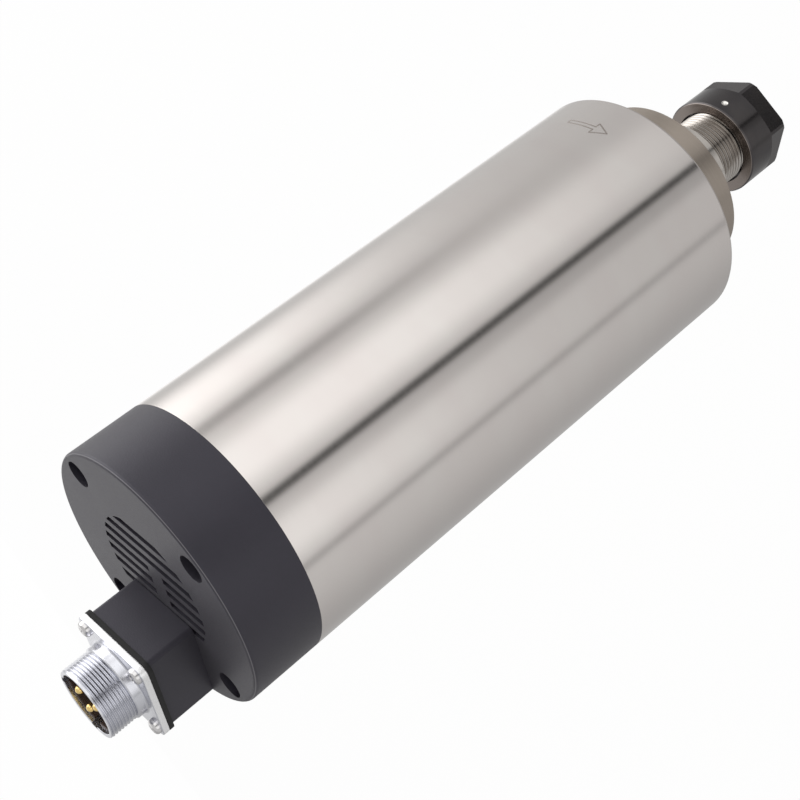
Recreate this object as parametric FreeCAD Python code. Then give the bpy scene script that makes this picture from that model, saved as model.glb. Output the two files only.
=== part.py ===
import FreeCAD, Part
import math
import os

# Air-cooled motor spindle with a collet nose: an 80 mm steel body, a fan cap with a grille and a
# connector box at the rear, and a threaded nose with a collet and its nut at the front.
#
# Frame, in millimetres: the spindle axis is Z and the nose points down. The origin is on the axis, at
# the front edge of the steel tube, so the rear of the spindle is at positive Z. The connector box
# stands on the +Y half of the rear face.

os.makedirs("parts", exist_ok=True)

# Clearances
SEAT_GAP = 0.03             # radial, between pieces that are pressed or bolted together
RUN_GAP = 0.05              # radial, between a turning piece and its seat or thread
FACE_GAP = 0.3              # axial, between pieces that turn past each other or sit by a stop

# Steel tube
BODY_RADIUS = 40.0
TUBE_WALL = 2.8
TUBE_LENGTH = 172.4

# Rear cap
CAP_LENGTH = 22.6
CAP_WALL = 3.0
CAP_PLATE = 3.5             # thickness of the rear face
CAP_EDGE_ROUND = 1.2
CAP_SPIGOT = 4.0            # length of the lip inside the tube
CAP_SCREW_EDGE = 6.0        # screw centres from the cap's outside
CAP_SCREW_COUNT = 4
CAP_SCREW_START = 45.0      # angle of the first screw from +X
CAP_PILLAR_RADIUS = 6.2
CAP_SCREW_RADIUS = 2.0
CAP_SCREW_LENGTH = 52.0
CAP_HEAD_RADIUS = 3.5
CAP_HEAD_HEIGHT = 4.0
CAP_HEAD_DEPTH = 7.0        # from the rear face down to the top of a screw head
CAP_COUNTERBORE_RADIUS = 4.1
HEX_SOCKET_ACROSS = 3.0
HEX_SOCKET_DEPTH = 2.0

# Grille in the rear face
GRILLE_RADIUS = 20.5        # the slots end on this circle
SLOT_PITCH = 4.7
SLOT_WIDTH = 2.4
SLOT_SHIFT = 0.9            # the middle row lies this far from the axis, towards the connector
SLOTS_BELOW = 4             # rows on the -Y side of the axis
SLOTS_ABOVE = 2             # rows on the +Y side, up to the connector box
GRILLE_WEB = 6.0            # width of the solid web across the middle rows
WEB_MIDDLE = -2.0           # place of the web along the slots
WEB_ROWS = 1                # rows on each side of the middle one that the web interrupts

# Connector box and connector on the rear face
BOX_MARGIN = 2.7            # from the cap's outside to the box
BOX_HALF_X = 13.0
BOX_HALF_Y = 13.9
BOX_HEIGHT = 14.4
BOX_WALL = 2.4
BOX_EDGE_ROUND = 1.4
GASKET_THICKNESS = 1.5
CON_FLANGE_HALF = 14.4      # the gasket is cut to the same outline
CON_FLANGE_THICKNESS = 2.1
CON_FLANGE_ROUND = 2.4      # radius of the flange's corners
SHELL_RADIUS = 11.0
SHELL_LENGTH = 11.6         # from the flange to the rim
SHELL_BORE_RADIUS = 9.6
SHELL_COLLAR_RADIUS = 11.4
SHELL_COLLAR_LENGTH = 2.8
INSERT_THICKNESS = 5.0      # insulator above the back of the flange
INSERT_TAIL = 3.0           # insulator below the back of the flange
CONTACT_ANGLES = (339.0, 69.0, 204.0)      # a quarter turn between two of them, the third opposite
CONTACT_CIRCLE = 4.45
CONTACT_RADIUS = 1.25
CONTACT_RECESS = 0.9        # contact tips below the rim of the shell
SOLDER_CUP_LENGTH = 4.0
CON_SCREW_HALF = 11.3       # half the spacing of the flange screws
CON_SCREW_RADIUS = 1.25
CON_SCREW_LENGTH = 9.0      # below the head
CON_HEAD_RADIUS = 2.4
CON_HEAD_HEIGHT = 1.5
CON_HEAD_EDGE = 0.5
LEAD_RADIUS = 1.1
LEAD_SPREAD = 5.0           # spacing of the three leads
LEAD_WALL_GAP = 3.0         # lead centres from the outer edge of the rear bell's window
LEAD_BEND = 4.5
LEAD_RISE = 6.0             # the lowest bend lies this far below the rear bell
LEAD_WINDOW_HALF_X = 7.5

# Front flange and bearing housing
BOSS_RADIUS = 29.0
BOSS_LENGTH = 16.5
BOSS_EDGE = 0.5
FLANGE_DEPTH = 7.0          # thickness of the flange inside the tube
HUB_RADIUS = 26.8           # bearing housing behind its shoulder
HUB_LIP = 3.0               # shoulder behind the bearings
OUTLET_EDGE = 1.4           # from the tube's bore to the air outlets in the flange
OUTLET_WIDTH = 3.4
OUTLETS_PER_SIDE = 2        # outlets between two screws
OUTLET_SPAN = 24.0          # degrees
FLANGE_SCREW_EDGE = 3.3     # screw centres from the tube's bore
FLANGE_SCREW_RADIUS = 1.5
FLANGE_SCREW_LENGTH = 16.0     # below the head
FLANGE_HEAD_RADIUS = 2.75
FLANGE_HEAD_HEIGHT = 3.0
FLANGE_SOCKET_ACROSS = 2.5
FLANGE_SOCKET_DEPTH = 1.5
RETAINER_RADIUS = 25.5
SPANNER_HOLE_RADIUS = 1.5
SPANNER_HOLE_DEPTH = 2.0
SPANNER_HOLE_CIRCLE = 21.5
SPANNER_HOLE_COUNT = 4
DUST_RING_RADIUS = 22.0
DUST_RING_THICKNESS = 2.5
DUST_RING_GAP = 0.5
LABYRINTH_GAP = 0.6

# Front bearing pair, 25 x 47 x 12
FRONT_BORE = 12.5
FRONT_OUTER = 23.5
FRONT_WIDTH = 12.0
FRONT_SPACER = 3.0
RETAINER_THICKNESS = 3.5

# Rear bearing, 15 x 32 x 9
REAR_BORE = 7.5
REAR_OUTER = 16.0
REAR_WIDTH = 9.0

# What the bearings share
RING_SHARE = 0.3            # thickness of each ring, as a share of the bearing's radial height
SPACER_SHARE = 0.25
SEAL_THICKNESS = 0.8
SEAL_INSET = 0.6            # seals below the ring's faces

# Rear bell
REAR_BELL_THICKNESS = 14.0
REAR_BELL_HUB = 20.0
REAR_BELL_LIP_BORE = 10.5
REAR_BELL_LIP = 1.5
REAR_WINDOW_RIM = 3.7       # from the tube's bore to the windows for the air
REAR_WINDOW_SPAN = 58.0     # degrees
DISC_SPRING_WIRE = 0.6
DISC_SPRING_RISE = 0.8

# Finned sleeve, stator and rotor
SLEEVE_WALL = 1.8
FIN_HEIGHT = 4.4
FIN_COUNT = 32
FIN_THICKNESS = 2.4
SLEEVE_BOSS_SPAN = 18.0     # degrees of solid wall at each screw
STATOR_START = 42.0
HEAD_TO_BELL = 15.1         # from the upper winding head to the rear bell
AIR_GAP = 0.4
ROTOR_OUTER = 20.0
STATOR_SLOTS = 18
STATOR_SLOT_WIDTH = 3.0
STATOR_SLOT_MOUTH = 1.5
STATOR_TOOTH_TIP = 1.6
STATOR_YOKE = 2.6           # solid wall outside the slots
COIL_GAP = 0.2
COIL_OVERHANG = 12.0
COIL_INSET = 1.4            # winding heads from the stator's bore and from its outside
COIL_EDGE = 1.8             # chamfer of the winding heads
END_RING_THICKNESS = 5.0
END_RING_OUTER = 19.0
END_RING_INNER = 13.2

# Shaft
ROTOR_SEAT = 12.0
REAR_SHOULDER_RADIUS = 9.5
REAR_SHOULDER_LENGTH = 6.0
LOCK_NUT_RADIUS = 18.0
LOCK_NUT_CLEARANCE = 1.5
LOCK_NUT_THICKNESS = 6.0
LOCK_NUT_SLOT = 4.0
LOCK_NUT_SLOT_DEPTH = 2.0
COLLAR_RADIUS = 16.0
COLLAR_END = 13.0           # front of the collar, from the front of the boss
COLLAR_FLATS = 28.0         # across the two spanner flats
COLLAR_FLAT_LENGTH = 8.0
COLLAR_FLAT_ANGLE = 140.0   # direction that one of the flats faces
THREAD_RADIUS = 12.5
THREAD_RELIEF_RADIUS = 11.4
THREAD_RELIEF = 1.5
NOSE_LENGTH = 22.0          # thread and relief, in front of the collar
NOSE_EDGE = 0.6
TOOL_BORE_DEPTH = 40.0      # from the nose's end
TOOL_BORE_RADIUS = 6.8
FAN_SEAT = 6.0
CIRCLIP_OUTER = 8.0
CIRCLIP_THICKNESS = 1.0
CIRCLIP_GROOVE = 0.8
CIRCLIP_OPENING = 40.0      # degrees
SHAFT_TAIL = 2.5            # shaft beyond the fan hub

# Fan
FAN_TIP_GAP = 1.4           # from the blades to the cap's screw pillars
FAN_HUB_RADIUS = 10.0
FAN_HUB_LENGTH = 15.0
FAN_BLADES = 9
FAN_BLADE_THICKNESS = 1.5
FAN_BLADE_CHORD = 15.0
FAN_BLADE_ANGLE = 40.0
FAN_START = 2.6             # above the rear bell
FAN_SPACER_RADIUS = 9.0

# Collet and nut
TAPER_ANGLE = 8.0           # half angle of the socket and the collet
COLLET_LENGTH = 31.5
COLLET_TAPER_LENGTH = 23.0
COLLET_BIG_RADIUS = 10.5
COLLET_GROOVE_RADIUS = 8.7
COLLET_GROOVE_WIDTH = 2.6
COLLET_GROOVE_LEAD = 0.6
COLLET_HEAD_RADIUS = 9.75
COLLET_HEAD_BAND = 1.0
COLLET_CONE_ANGLE = 30.0
COLLET_BORE_RADIUS = 3.0
COLLET_SLOTS = 6            # from each end
COLLET_SLOT_START = 7.5     # angle of the first slot
COLLET_SLOT_WIDTH = 0.6
COLLET_SLOT_END = 4.0       # solid length where a slot stops
COLLET_SEAT_DEPTH = 20.5    # length of taper inside the shaft
NUT_RADIUS = 17.0
NUT_LENGTH = 18.9
NUT_ACROSS_FLATS = 30.0
NUT_FLAT_LENGTH = 7.5
NUT_FLAT_START = 49.45      # direction that the first flat faces
NUT_RUNOUT_ANGLE = 65.0
NUT_EDGE = 0.5
NUT_START = 13.1            # nut's rear rim, in front of the collar
NUT_MOUTH_RADIUS = 13.2
NUT_MOUTH_DEPTH = 2.2
NUT_THREAD_LENGTH = 8.2
NUT_RING_OUTER = 11.9
NUT_RING_BORE = 9.2
NUT_RING_THICKNESS = 2.0
CONE_GAP = 0.3
BALANCE_PIT_RADIUS = 1.2
BALANCE_PIT_DEPTH = 0.8
BALANCE_PIT_BACK = 4.0      # from the nut's rear rim
BALANCE_PIT_ANGLE = 261.6

# Places along the axis that several pieces share
REAR_FACE = TUBE_LENGTH + CAP_LENGTH
TUBE_BORE = BODY_RADIUS - TUBE_WALL
CAP_SCREW_CIRCLE = BODY_RADIUS - CAP_SCREW_EDGE
FLANGE_SCREW_CIRCLE = TUBE_BORE - FLANGE_SCREW_EDGE
OUTLET_OUTER = TUBE_BORE - OUTLET_EDGE
OUTLET_INNER = OUTLET_OUTER - OUTLET_WIDTH
REAR_WINDOW_OUTER = TUBE_BORE - REAR_WINDOW_RIM
BOX_CENTRE_Y = BODY_RADIUS - BOX_MARGIN - BOX_HALF_Y
LEAD_Y = REAR_WINDOW_OUTER - LEAD_WALL_GAP
STATOR_OUTER = TUBE_BORE - FIN_HEIGHT - SLEEVE_WALL
STATOR_BORE = ROTOR_OUTER + AIR_GAP
COIL_INNER = STATOR_BORE + COIL_INSET
COIL_OUTER = STATOR_OUTER - COIL_INSET
FAN_RADIUS = CAP_SCREW_CIRCLE - CAP_PILLAR_RADIUS - FAN_TIP_GAP
BOSS_FRONT = -BOSS_LENGTH
BEARING_FRONT = BOSS_FRONT + RETAINER_THICKNESS
BEARING_BACK = BEARING_FRONT + 2 * FRONT_WIDTH + FRONT_SPACER
COLLAR_FRONT = BOSS_FRONT - COLLAR_END
NOSE_END = COLLAR_FRONT - NOSE_LENGTH
NUT_REAR = COLLAR_FRONT - NUT_START
NUT_FRONT = NUT_REAR - NUT_LENGTH
REAR_BELL_TOP = TUBE_LENGTH - CAP_SPIGOT - FACE_GAP
REAR_BELL_BOTTOM = REAR_BELL_TOP - REAR_BELL_THICKNESS
STATOR_END = REAR_BELL_BOTTOM - HEAD_TO_BELL - COIL_OVERHANG
SPRING_SPACE = DISC_SPRING_WIRE + DISC_SPRING_RISE
REAR_BEARING_TOP = REAR_BELL_TOP - REAR_BELL_LIP - SPRING_SPACE
REAR_BEARING_BOTTOM = REAR_BEARING_TOP - REAR_WIDTH
FAN_BOTTOM = REAR_BELL_TOP + FAN_START
FAN_TOP = FAN_BOTTOM + FAN_HUB_LENGTH
SHAFT_TOP = FAN_TOP + SHAFT_TAIL
BOX_TOP = REAR_FACE + BOX_HEIGHT
CON_FLANGE_BACK = BOX_TOP + GASKET_THICKNESS
CON_FLANGE_FRONT = CON_FLANGE_BACK + CON_FLANGE_THICKNESS
SHELL_RIM = CON_FLANGE_FRONT + SHELL_LENGTH
COLLET_REAR = NOSE_END + COLLET_SEAT_DEPTH
COLLET_BIG_END = COLLET_REAR - COLLET_TAPER_LENGTH
COLLET_FRONT = COLLET_REAR - COLLET_LENGTH
TAPER_SLOPE = math.tan(math.radians(TAPER_ANGLE))
CONE_SLOPE = math.tan(math.radians(COLLET_CONE_ANGLE))
AXIS = FreeCAD.Vector(0, 0, 1)
OVER = 1.0                  # how far a cutting tool reaches past the face it opens


def point(x, y, z):
    return FreeCAD.Vector(x, y, z)


def disc(radius, low, high, x=0.0, y=0.0):
    """Solid cylinder along Z from low to high."""
    return Part.makeCylinder(radius, high - low, point(x, y, low), AXIS)


def ring(outer, inner, low, high):
    return disc(outer, low, high).cut(disc(inner, low - OVER, high + OVER))


def turned(profile):
    """Solid of revolution about Z from a closed outline of (radius, z) corners."""
    corners = [point(radius, 0, z) for radius, z in profile]
    outline = Part.makePolygon(corners + corners[:1])
    return Part.Face(outline).revolve(point(0, 0, 0), AXIS, 360)


def sector(outer, inner, low, high, middle, span):
    """Part of a ring: span degrees wide, centred on the angle middle."""
    blank = Part.makeCylinder(outer, high - low, point(0, 0, low), AXIS, span)
    blank.rotate(point(0, 0, 0), AXIS, middle - span / 2)
    return blank.cut(disc(inner, low - OVER, high + OVER))


def block(low_corner, high_corner):
    size = high_corner.sub(low_corner)
    return Part.makeBox(size.x, size.y, size.z, low_corner)


def turned_copy(shape, angle, centre=None):
    """Copy of a shape, turned about the Z line through centre."""
    copy = shape.copy()
    copy.rotate(centre or point(0, 0, 0), AXIS, angle)
    return copy


def around(shape, count, start=0.0):
    """Copies of a shape, evenly spaced about the spindle axis."""
    return [turned_copy(shape, start + 360.0 / count * index) for index in range(count)]


def screw_angles():
    return [CAP_SCREW_START + 360.0 / CAP_SCREW_COUNT * index for index in range(CAP_SCREW_COUNT)]


def hex_bar(across, low, high, x=0.0, y=0.0):
    corner = across / 2 / math.cos(math.radians(30))
    corners = []
    for index in range(6):
        angle = math.radians(60 * index)
        corners.append(point(x + corner * math.cos(angle), y + corner * math.sin(angle), low))
    return Part.Face(Part.makePolygon(corners + corners[:1])).extrude(point(0, 0, high - low))


def save(node, shape):
    """Write one sub-part, as a single solid or as a group of separate ones."""
    shape = shape.removeSplitter()
    if not shape.isValid() or not shape.Solids:
        raise RuntimeError("bad solid in " + node)
    result = shape.Solids[0] if len(shape.Solids) == 1 else Part.makeCompound(shape.Solids)
    result.exportStep("parts/" + node + ".step")
    print("%-26s %2d solid(s) %10.1f mm3" % (node, len(shape.Solids), result.Volume))


def housing_tube():
    return ring(BODY_RADIUS, TUBE_BORE, 0, TUBE_LENGTH)


def finned_sleeve():
    """Aluminium sleeve that carries the stator. Air runs along the channels between its fins."""
    low = FLANGE_DEPTH
    high = REAR_BELL_BOTTOM
    root = STATOR_OUTER + SLEEVE_WALL
    tip = TUBE_BORE - SEAT_GAP
    sleeve = ring(tip, STATOR_OUTER + SEAT_GAP, low, high)
    width = 2 * math.pi * root / FIN_COUNT - FIN_THICKNESS
    channel = block(point(root, -width / 2, low - OVER), point(tip + OVER, width / 2, high + OVER))
    step = 360.0 / FIN_COUNT
    channels = []
    for index in range(FIN_COUNT):
        angle = step * index
        gaps = [abs((angle - screw + 180) % 360 - 180) for screw in screw_angles()]
        if min(gaps) > SLEEVE_BOSS_SPAN / 2 + step / 4:
            channels.append(turned_copy(channel, angle))
    sleeve = sleeve.cut(Part.makeCompound(channels))
    hole_depth = CAP_SCREW_LENGTH - (cap_head_seat() - high) + OVER
    holes = around(disc(CAP_SCREW_RADIUS + SEAT_GAP, high - hole_depth, high + OVER, CAP_SCREW_CIRCLE),
                   CAP_SCREW_COUNT, CAP_SCREW_START)
    front_depth = FLANGE_HEAD_HEIGHT + FLANGE_SCREW_LENGTH - FLANGE_DEPTH + OVER
    front_hole = disc(FLANGE_SCREW_RADIUS + SEAT_GAP, low - OVER, low + front_depth, FLANGE_SCREW_CIRCLE)
    holes += around(front_hole, CAP_SCREW_COUNT, CAP_SCREW_START)
    return sleeve.cut(Part.makeCompound(holes))


def bearing_housing():
    """Boss at the front with the seat of the front bearings, pressed into the flange up to its shoulder."""
    bore = FRONT_OUTER + SEAT_GAP
    lip_bore = LOCK_NUT_RADIUS + LOCK_NUT_CLEARANCE
    hub_top = BEARING_BACK + HUB_LIP
    return turned([(RETAINER_RADIUS, BOSS_FRONT), (BOSS_RADIUS - BOSS_EDGE, BOSS_FRONT),
                   (BOSS_RADIUS, BOSS_FRONT + BOSS_EDGE), (BOSS_RADIUS, 0), (HUB_RADIUS, 0),
                   (HUB_RADIUS, hub_top), (lip_bore, hub_top), (lip_bore, BEARING_BACK),
                   (bore, BEARING_BACK), (bore, BEARING_FRONT), (RETAINER_RADIUS, BEARING_FRONT)])


def front_flange():
    """Flange in the front of the tube, with the air outlets and the holes of its screws."""
    flange = ring(TUBE_BORE - SEAT_GAP, HUB_RADIUS + SEAT_GAP, 0, FLANGE_DEPTH)
    pitch = 360.0 / CAP_SCREW_COUNT / (OUTLETS_PER_SIDE + 1)
    through = FLANGE_DEPTH + OVER
    outlets = []
    for screw in screw_angles():
        for index in range(OUTLETS_PER_SIDE):
            middle = screw + pitch * (index + 1)
            outlets.append(sector(OUTLET_OUTER, OUTLET_INNER, -OVER, through, middle, OUTLET_SPAN))
    hole = disc(FLANGE_SCREW_RADIUS + SEAT_GAP, -OVER, through, FLANGE_SCREW_CIRCLE)
    head = disc(FLANGE_HEAD_RADIUS + SEAT_GAP, -OVER, FLANGE_HEAD_HEIGHT, FLANGE_SCREW_CIRCLE)
    holes = around(hole.fuse(head), CAP_SCREW_COUNT, CAP_SCREW_START)
    return flange.cut(Part.makeCompound(outlets + holes))


def front_flange_screws():
    """Socket head screws that hold the flange to the sleeve, sunk flush in its face."""
    end = FLANGE_HEAD_HEIGHT + FLANGE_SCREW_LENGTH
    screw = disc(FLANGE_HEAD_RADIUS, 0, FLANGE_HEAD_HEIGHT, FLANGE_SCREW_CIRCLE)
    screw = screw.fuse(disc(FLANGE_SCREW_RADIUS, FLANGE_HEAD_HEIGHT, end, FLANGE_SCREW_CIRCLE))
    screw = screw.cut(hex_bar(FLANGE_SOCKET_ACROSS, -OVER, FLANGE_SOCKET_DEPTH, FLANGE_SCREW_CIRCLE))
    return Part.makeCompound(around(screw, CAP_SCREW_COUNT, CAP_SCREW_START))


def front_retainer():
    """Threaded ring that clamps the front bearings, with holes for a pin spanner."""
    bore = COLLAR_RADIUS + LABYRINTH_GAP
    retainer = ring(RETAINER_RADIUS - SEAT_GAP, bore, BOSS_FRONT, BEARING_FRONT)
    bottom = BOSS_FRONT + SPANNER_HOLE_DEPTH
    hole = disc(SPANNER_HOLE_RADIUS, BOSS_FRONT - OVER, bottom, SPANNER_HOLE_CIRCLE)
    return retainer.cut(Part.makeCompound(around(hole, SPANNER_HOLE_COUNT)))


def dust_ring():
    """Ring on the shaft's collar that throws chips and oil off the bearings."""
    high = BOSS_FRONT - DUST_RING_GAP
    low = high - DUST_RING_THICKNESS
    bore = COLLAR_RADIUS + SEAT_GAP
    bevel = DUST_RING_THICKNESS / 2
    return turned([(bore, low), (DUST_RING_RADIUS - bevel, low), (DUST_RING_RADIUS, low + bevel),
                   (DUST_RING_RADIUS, high), (bore, high)])


def sealed_bearing(bore, outer, width, low):
    """Inner ring and outer ring of a sealed bearing. The seals are fixed in the outer ring."""
    wall = (outer - bore) * RING_SHARE
    inner_ring = ring(bore + wall, bore + SEAT_GAP, low, low + width)
    outer_ring = ring(outer, outer - wall, low, low + width)
    seal_bore = bore + wall + FACE_GAP
    for seal_low in (low + SEAL_INSET, low + width - SEAL_INSET - SEAL_THICKNESS):
        seal = ring(outer - wall / 2, seal_bore, seal_low, seal_low + SEAL_THICKNESS)
        outer_ring = outer_ring.fuse(seal)
    return inner_ring, outer_ring


def save_front_bearings():
    """Two bearings side by side at the nose, with a distance ring between each kind of ring."""
    spacer_low = BEARING_FRONT + FRONT_WIDTH
    spacer_high = spacer_low + FRONT_SPACER
    first = sealed_bearing(FRONT_BORE, FRONT_OUTER, FRONT_WIDTH, BEARING_FRONT)
    second = sealed_bearing(FRONT_BORE, FRONT_OUTER, FRONT_WIDTH, spacer_high)
    save("front_inner_rings", Part.makeCompound([first[0], second[0]]))
    save("front_outer_rings", Part.makeCompound([first[1], second[1]]))
    wall = (FRONT_OUTER - FRONT_BORE) * SPACER_SHARE
    save("inner_spacer", ring(FRONT_BORE + wall, FRONT_BORE + SEAT_GAP, spacer_low, spacer_high))
    save("outer_spacer", ring(FRONT_OUTER, FRONT_OUTER - wall, spacer_low, spacer_high))


def save_rear_bearing():
    inner_ring, outer_ring = sealed_bearing(REAR_BORE, REAR_OUTER, REAR_WIDTH, REAR_BEARING_BOTTOM)
    save("rear_inner_ring", inner_ring)
    save("rear_outer_ring", outer_ring)


def disc_spring():
    """Conical spring washer that preloads the rear bearing against its outer ring."""
    outer = REAR_OUTER - SEAT_GAP
    inner = REAR_BELL_LIP_BORE + 1.0
    low = REAR_BEARING_TOP
    return turned([(outer, low), (outer, low + DISC_SPRING_WIRE), (inner, low + SPRING_SPACE),
                   (inner, low + DISC_SPRING_RISE)])


def rear_bell():
    """Bearing shield with four windows for the air, bolted between the cap and the sleeve."""
    rim = TUBE_BORE - SEAT_GAP
    bell = turned([(REAR_OUTER + SEAT_GAP, REAR_BELL_BOTTOM), (rim, REAR_BELL_BOTTOM), (rim, REAR_BELL_TOP),
                   (REAR_BELL_LIP_BORE, REAR_BELL_TOP), (REAR_BELL_LIP_BORE, REAR_BELL_TOP - REAR_BELL_LIP),
                   (REAR_OUTER + SEAT_GAP, REAR_BELL_TOP - REAR_BELL_LIP)])
    low = REAR_BELL_BOTTOM - OVER
    high = REAR_BELL_TOP + OVER
    cuts = []
    hole = disc(CAP_SCREW_RADIUS + SEAT_GAP, low, high, CAP_SCREW_CIRCLE)
    for screw in screw_angles():
        middle = screw + 180.0 / CAP_SCREW_COUNT
        cuts.append(sector(REAR_WINDOW_OUTER, REAR_BELL_HUB, low, high, middle, REAR_WINDOW_SPAN))
        cuts.append(turned_copy(hole, screw))
    return bell.cut(Part.makeCompound(cuts))


def cap_head_seat():
    """Height of the face that the heads of the cap screws press on."""
    return REAR_FACE - CAP_HEAD_DEPTH - CAP_HEAD_HEIGHT


def grille_slots():
    """Straight slots that end on a circle, with a web left across the middle rows."""
    low = REAR_FACE - CAP_PLATE - OVER
    high = REAR_FACE + OVER
    field = disc(GRILLE_RADIUS, low, high)
    web_low = WEB_MIDDLE - GRILLE_WEB / 2
    web_high = WEB_MIDDLE + GRILLE_WEB / 2
    slots = []
    for row in range(-SLOTS_BELOW, SLOTS_ABOVE + 1):
        near = SLOT_SHIFT + row * SLOT_PITCH - SLOT_WIDTH / 2
        far = near + SLOT_WIDTH
        ends = [-GRILLE_RADIUS, GRILLE_RADIUS]
        if abs(row) <= WEB_ROWS:
            ends = [-GRILLE_RADIUS, web_low, web_high, GRILLE_RADIUS]
        for left, right in zip(ends[::2], ends[1::2]):
            slots.append(block(point(left, near, low), point(right, far, high)).common(field))
    return slots


def rear_cap():
    """Moulded fan cap: rim flush with the tube, lip inside it, four screw pillars and the grille."""
    edge = CAP_EDGE_ROUND
    bend = edge * (1 - math.cos(math.radians(45)))
    inner = BODY_RADIUS - CAP_WALL
    lip = TUBE_BORE - SEAT_GAP
    lip_bore = lip - CAP_WALL
    plate_low = REAR_FACE - CAP_PLATE
    lip_end = TUBE_LENGTH - CAP_SPIGOT
    bend_point = point(BODY_RADIUS - bend, 0, REAR_FACE - bend)
    edge_end = point(BODY_RADIUS - edge, 0, REAR_FACE)
    outside = [point(BODY_RADIUS, 0, REAR_FACE - edge), point(BODY_RADIUS, 0, TUBE_LENGTH),
               point(lip, 0, TUBE_LENGTH), point(lip, 0, lip_end), point(lip_bore, 0, lip_end),
               point(lip_bore, 0, TUBE_LENGTH), point(inner, 0, TUBE_LENGTH + inner - lip_bore),
               point(inner, 0, plate_low), point(0, 0, plate_low), point(0, 0, REAR_FACE), edge_end]
    edges = [Part.LineSegment(a, b).toShape() for a, b in zip(outside, outside[1:])]
    edges.append(Part.Arc(edge_end, bend_point, outside[0]).toShape())
    cap = Part.Face(Part.Wire(edges)).revolve(point(0, 0, 0), AXIS, 360)
    pillar = disc(CAP_PILLAR_RADIUS, lip_end, REAR_FACE - CAP_PLATE / 2, CAP_SCREW_CIRCLE)
    limit = disc(BODY_RADIUS - CAP_WALL / 2, TUBE_LENGTH, REAR_FACE)
    limit = limit.fuse(disc(lip, lip_end, TUBE_LENGTH))
    pillars = around(pillar.common(limit), CAP_SCREW_COUNT, CAP_SCREW_START)
    cap = cap.fuse(pillars)
    hole = disc(CAP_SCREW_RADIUS + SEAT_GAP, lip_end - OVER, REAR_FACE, CAP_SCREW_CIRCLE)
    hole = hole.fuse(disc(CAP_COUNTERBORE_RADIUS, cap_head_seat(), REAR_FACE + OVER, CAP_SCREW_CIRCLE))
    window_start = BOX_CENTRE_Y - BOX_HALF_Y + 2 * BOX_WALL
    window = block(point(-LEAD_WINDOW_HALF_X, window_start, plate_low - OVER),
                   point(LEAD_WINDOW_HALF_X, LEAD_Y + 2 * LEAD_RADIUS, REAR_FACE + OVER))
    cuts = around(hole, CAP_SCREW_COUNT, CAP_SCREW_START) + grille_slots() + [window]
    return cap.cut(Part.makeCompound(cuts))


def cap_screws():
    """Socket head screws that hold the cap and the rear bell to the sleeve."""
    seat = cap_head_seat()
    top = seat + CAP_HEAD_HEIGHT
    screw = disc(CAP_HEAD_RADIUS, seat, top, CAP_SCREW_CIRCLE)
    screw = screw.fuse(disc(CAP_SCREW_RADIUS, seat - CAP_SCREW_LENGTH, seat, CAP_SCREW_CIRCLE))
    screw = screw.cut(hex_bar(HEX_SOCKET_ACROSS, top - HEX_SOCKET_DEPTH, top + OVER, CAP_SCREW_CIRCLE))
    return Part.makeCompound(around(screw, CAP_SCREW_COUNT, CAP_SCREW_START))


def connector_screw_places():
    return [(sx * CON_SCREW_HALF, BOX_CENTRE_Y + sy * CON_SCREW_HALF) for sx in (-1, 1) for sy in (-1, 1)]


def upright_edges(shape):
    return [edge for edge in shape.Edges if abs(edge.tangentAt(edge.FirstParameter).z) > 0.9]


def flange_plate(low, high):
    """Square plate with rounded corners, in the outline of the connector's flange."""
    half = CON_FLANGE_HALF
    plate = block(point(-half, BOX_CENTRE_Y - half, low), point(half, BOX_CENTRE_Y + half, high))
    return plate.makeFillet(CON_FLANGE_ROUND, upright_edges(plate))


def connector_box():
    """Square moulded box on the rear face that lifts the connector clear of the grille."""
    low = point(-BOX_HALF_X, BOX_CENTRE_Y - BOX_HALF_Y, REAR_FACE)
    high = point(BOX_HALF_X, BOX_CENTRE_Y + BOX_HALF_Y, BOX_TOP)
    box = block(low, high)
    box = box.makeFillet(BOX_EDGE_ROUND, upright_edges(box))
    inside = BOX_WALL
    hollow = block(point(low.x + inside, low.y + inside, low.z - OVER),
                   point(high.x - inside, high.y - inside, high.z + OVER))
    post = 2 * CON_SCREW_RADIUS
    for x, y in connector_screw_places():
        hollow = hollow.cut(disc(post, low.z - 2 * OVER, high.z + 2 * OVER, x, y))
    box = box.cut(hollow)
    depth = CON_SCREW_LENGTH - CON_FLANGE_THICKNESS - GASKET_THICKNESS + OVER
    radius = CON_SCREW_RADIUS + SEAT_GAP
    holes = [disc(radius, high.z - depth, high.z + OVER, x, y) for x, y in connector_screw_places()]
    return box.cut(Part.makeCompound(holes))


def connector_gasket():
    gasket = flange_plate(BOX_TOP, CON_FLANGE_BACK)
    cuts = [disc(SHELL_BORE_RADIUS, BOX_TOP - OVER, CON_FLANGE_BACK + OVER, 0, BOX_CENTRE_Y)]
    for x, y in connector_screw_places():
        cuts.append(disc(CON_SCREW_RADIUS + SEAT_GAP, BOX_TOP - OVER, CON_FLANGE_BACK + OVER, x, y))
    return gasket.cut(Part.makeCompound(cuts))


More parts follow.
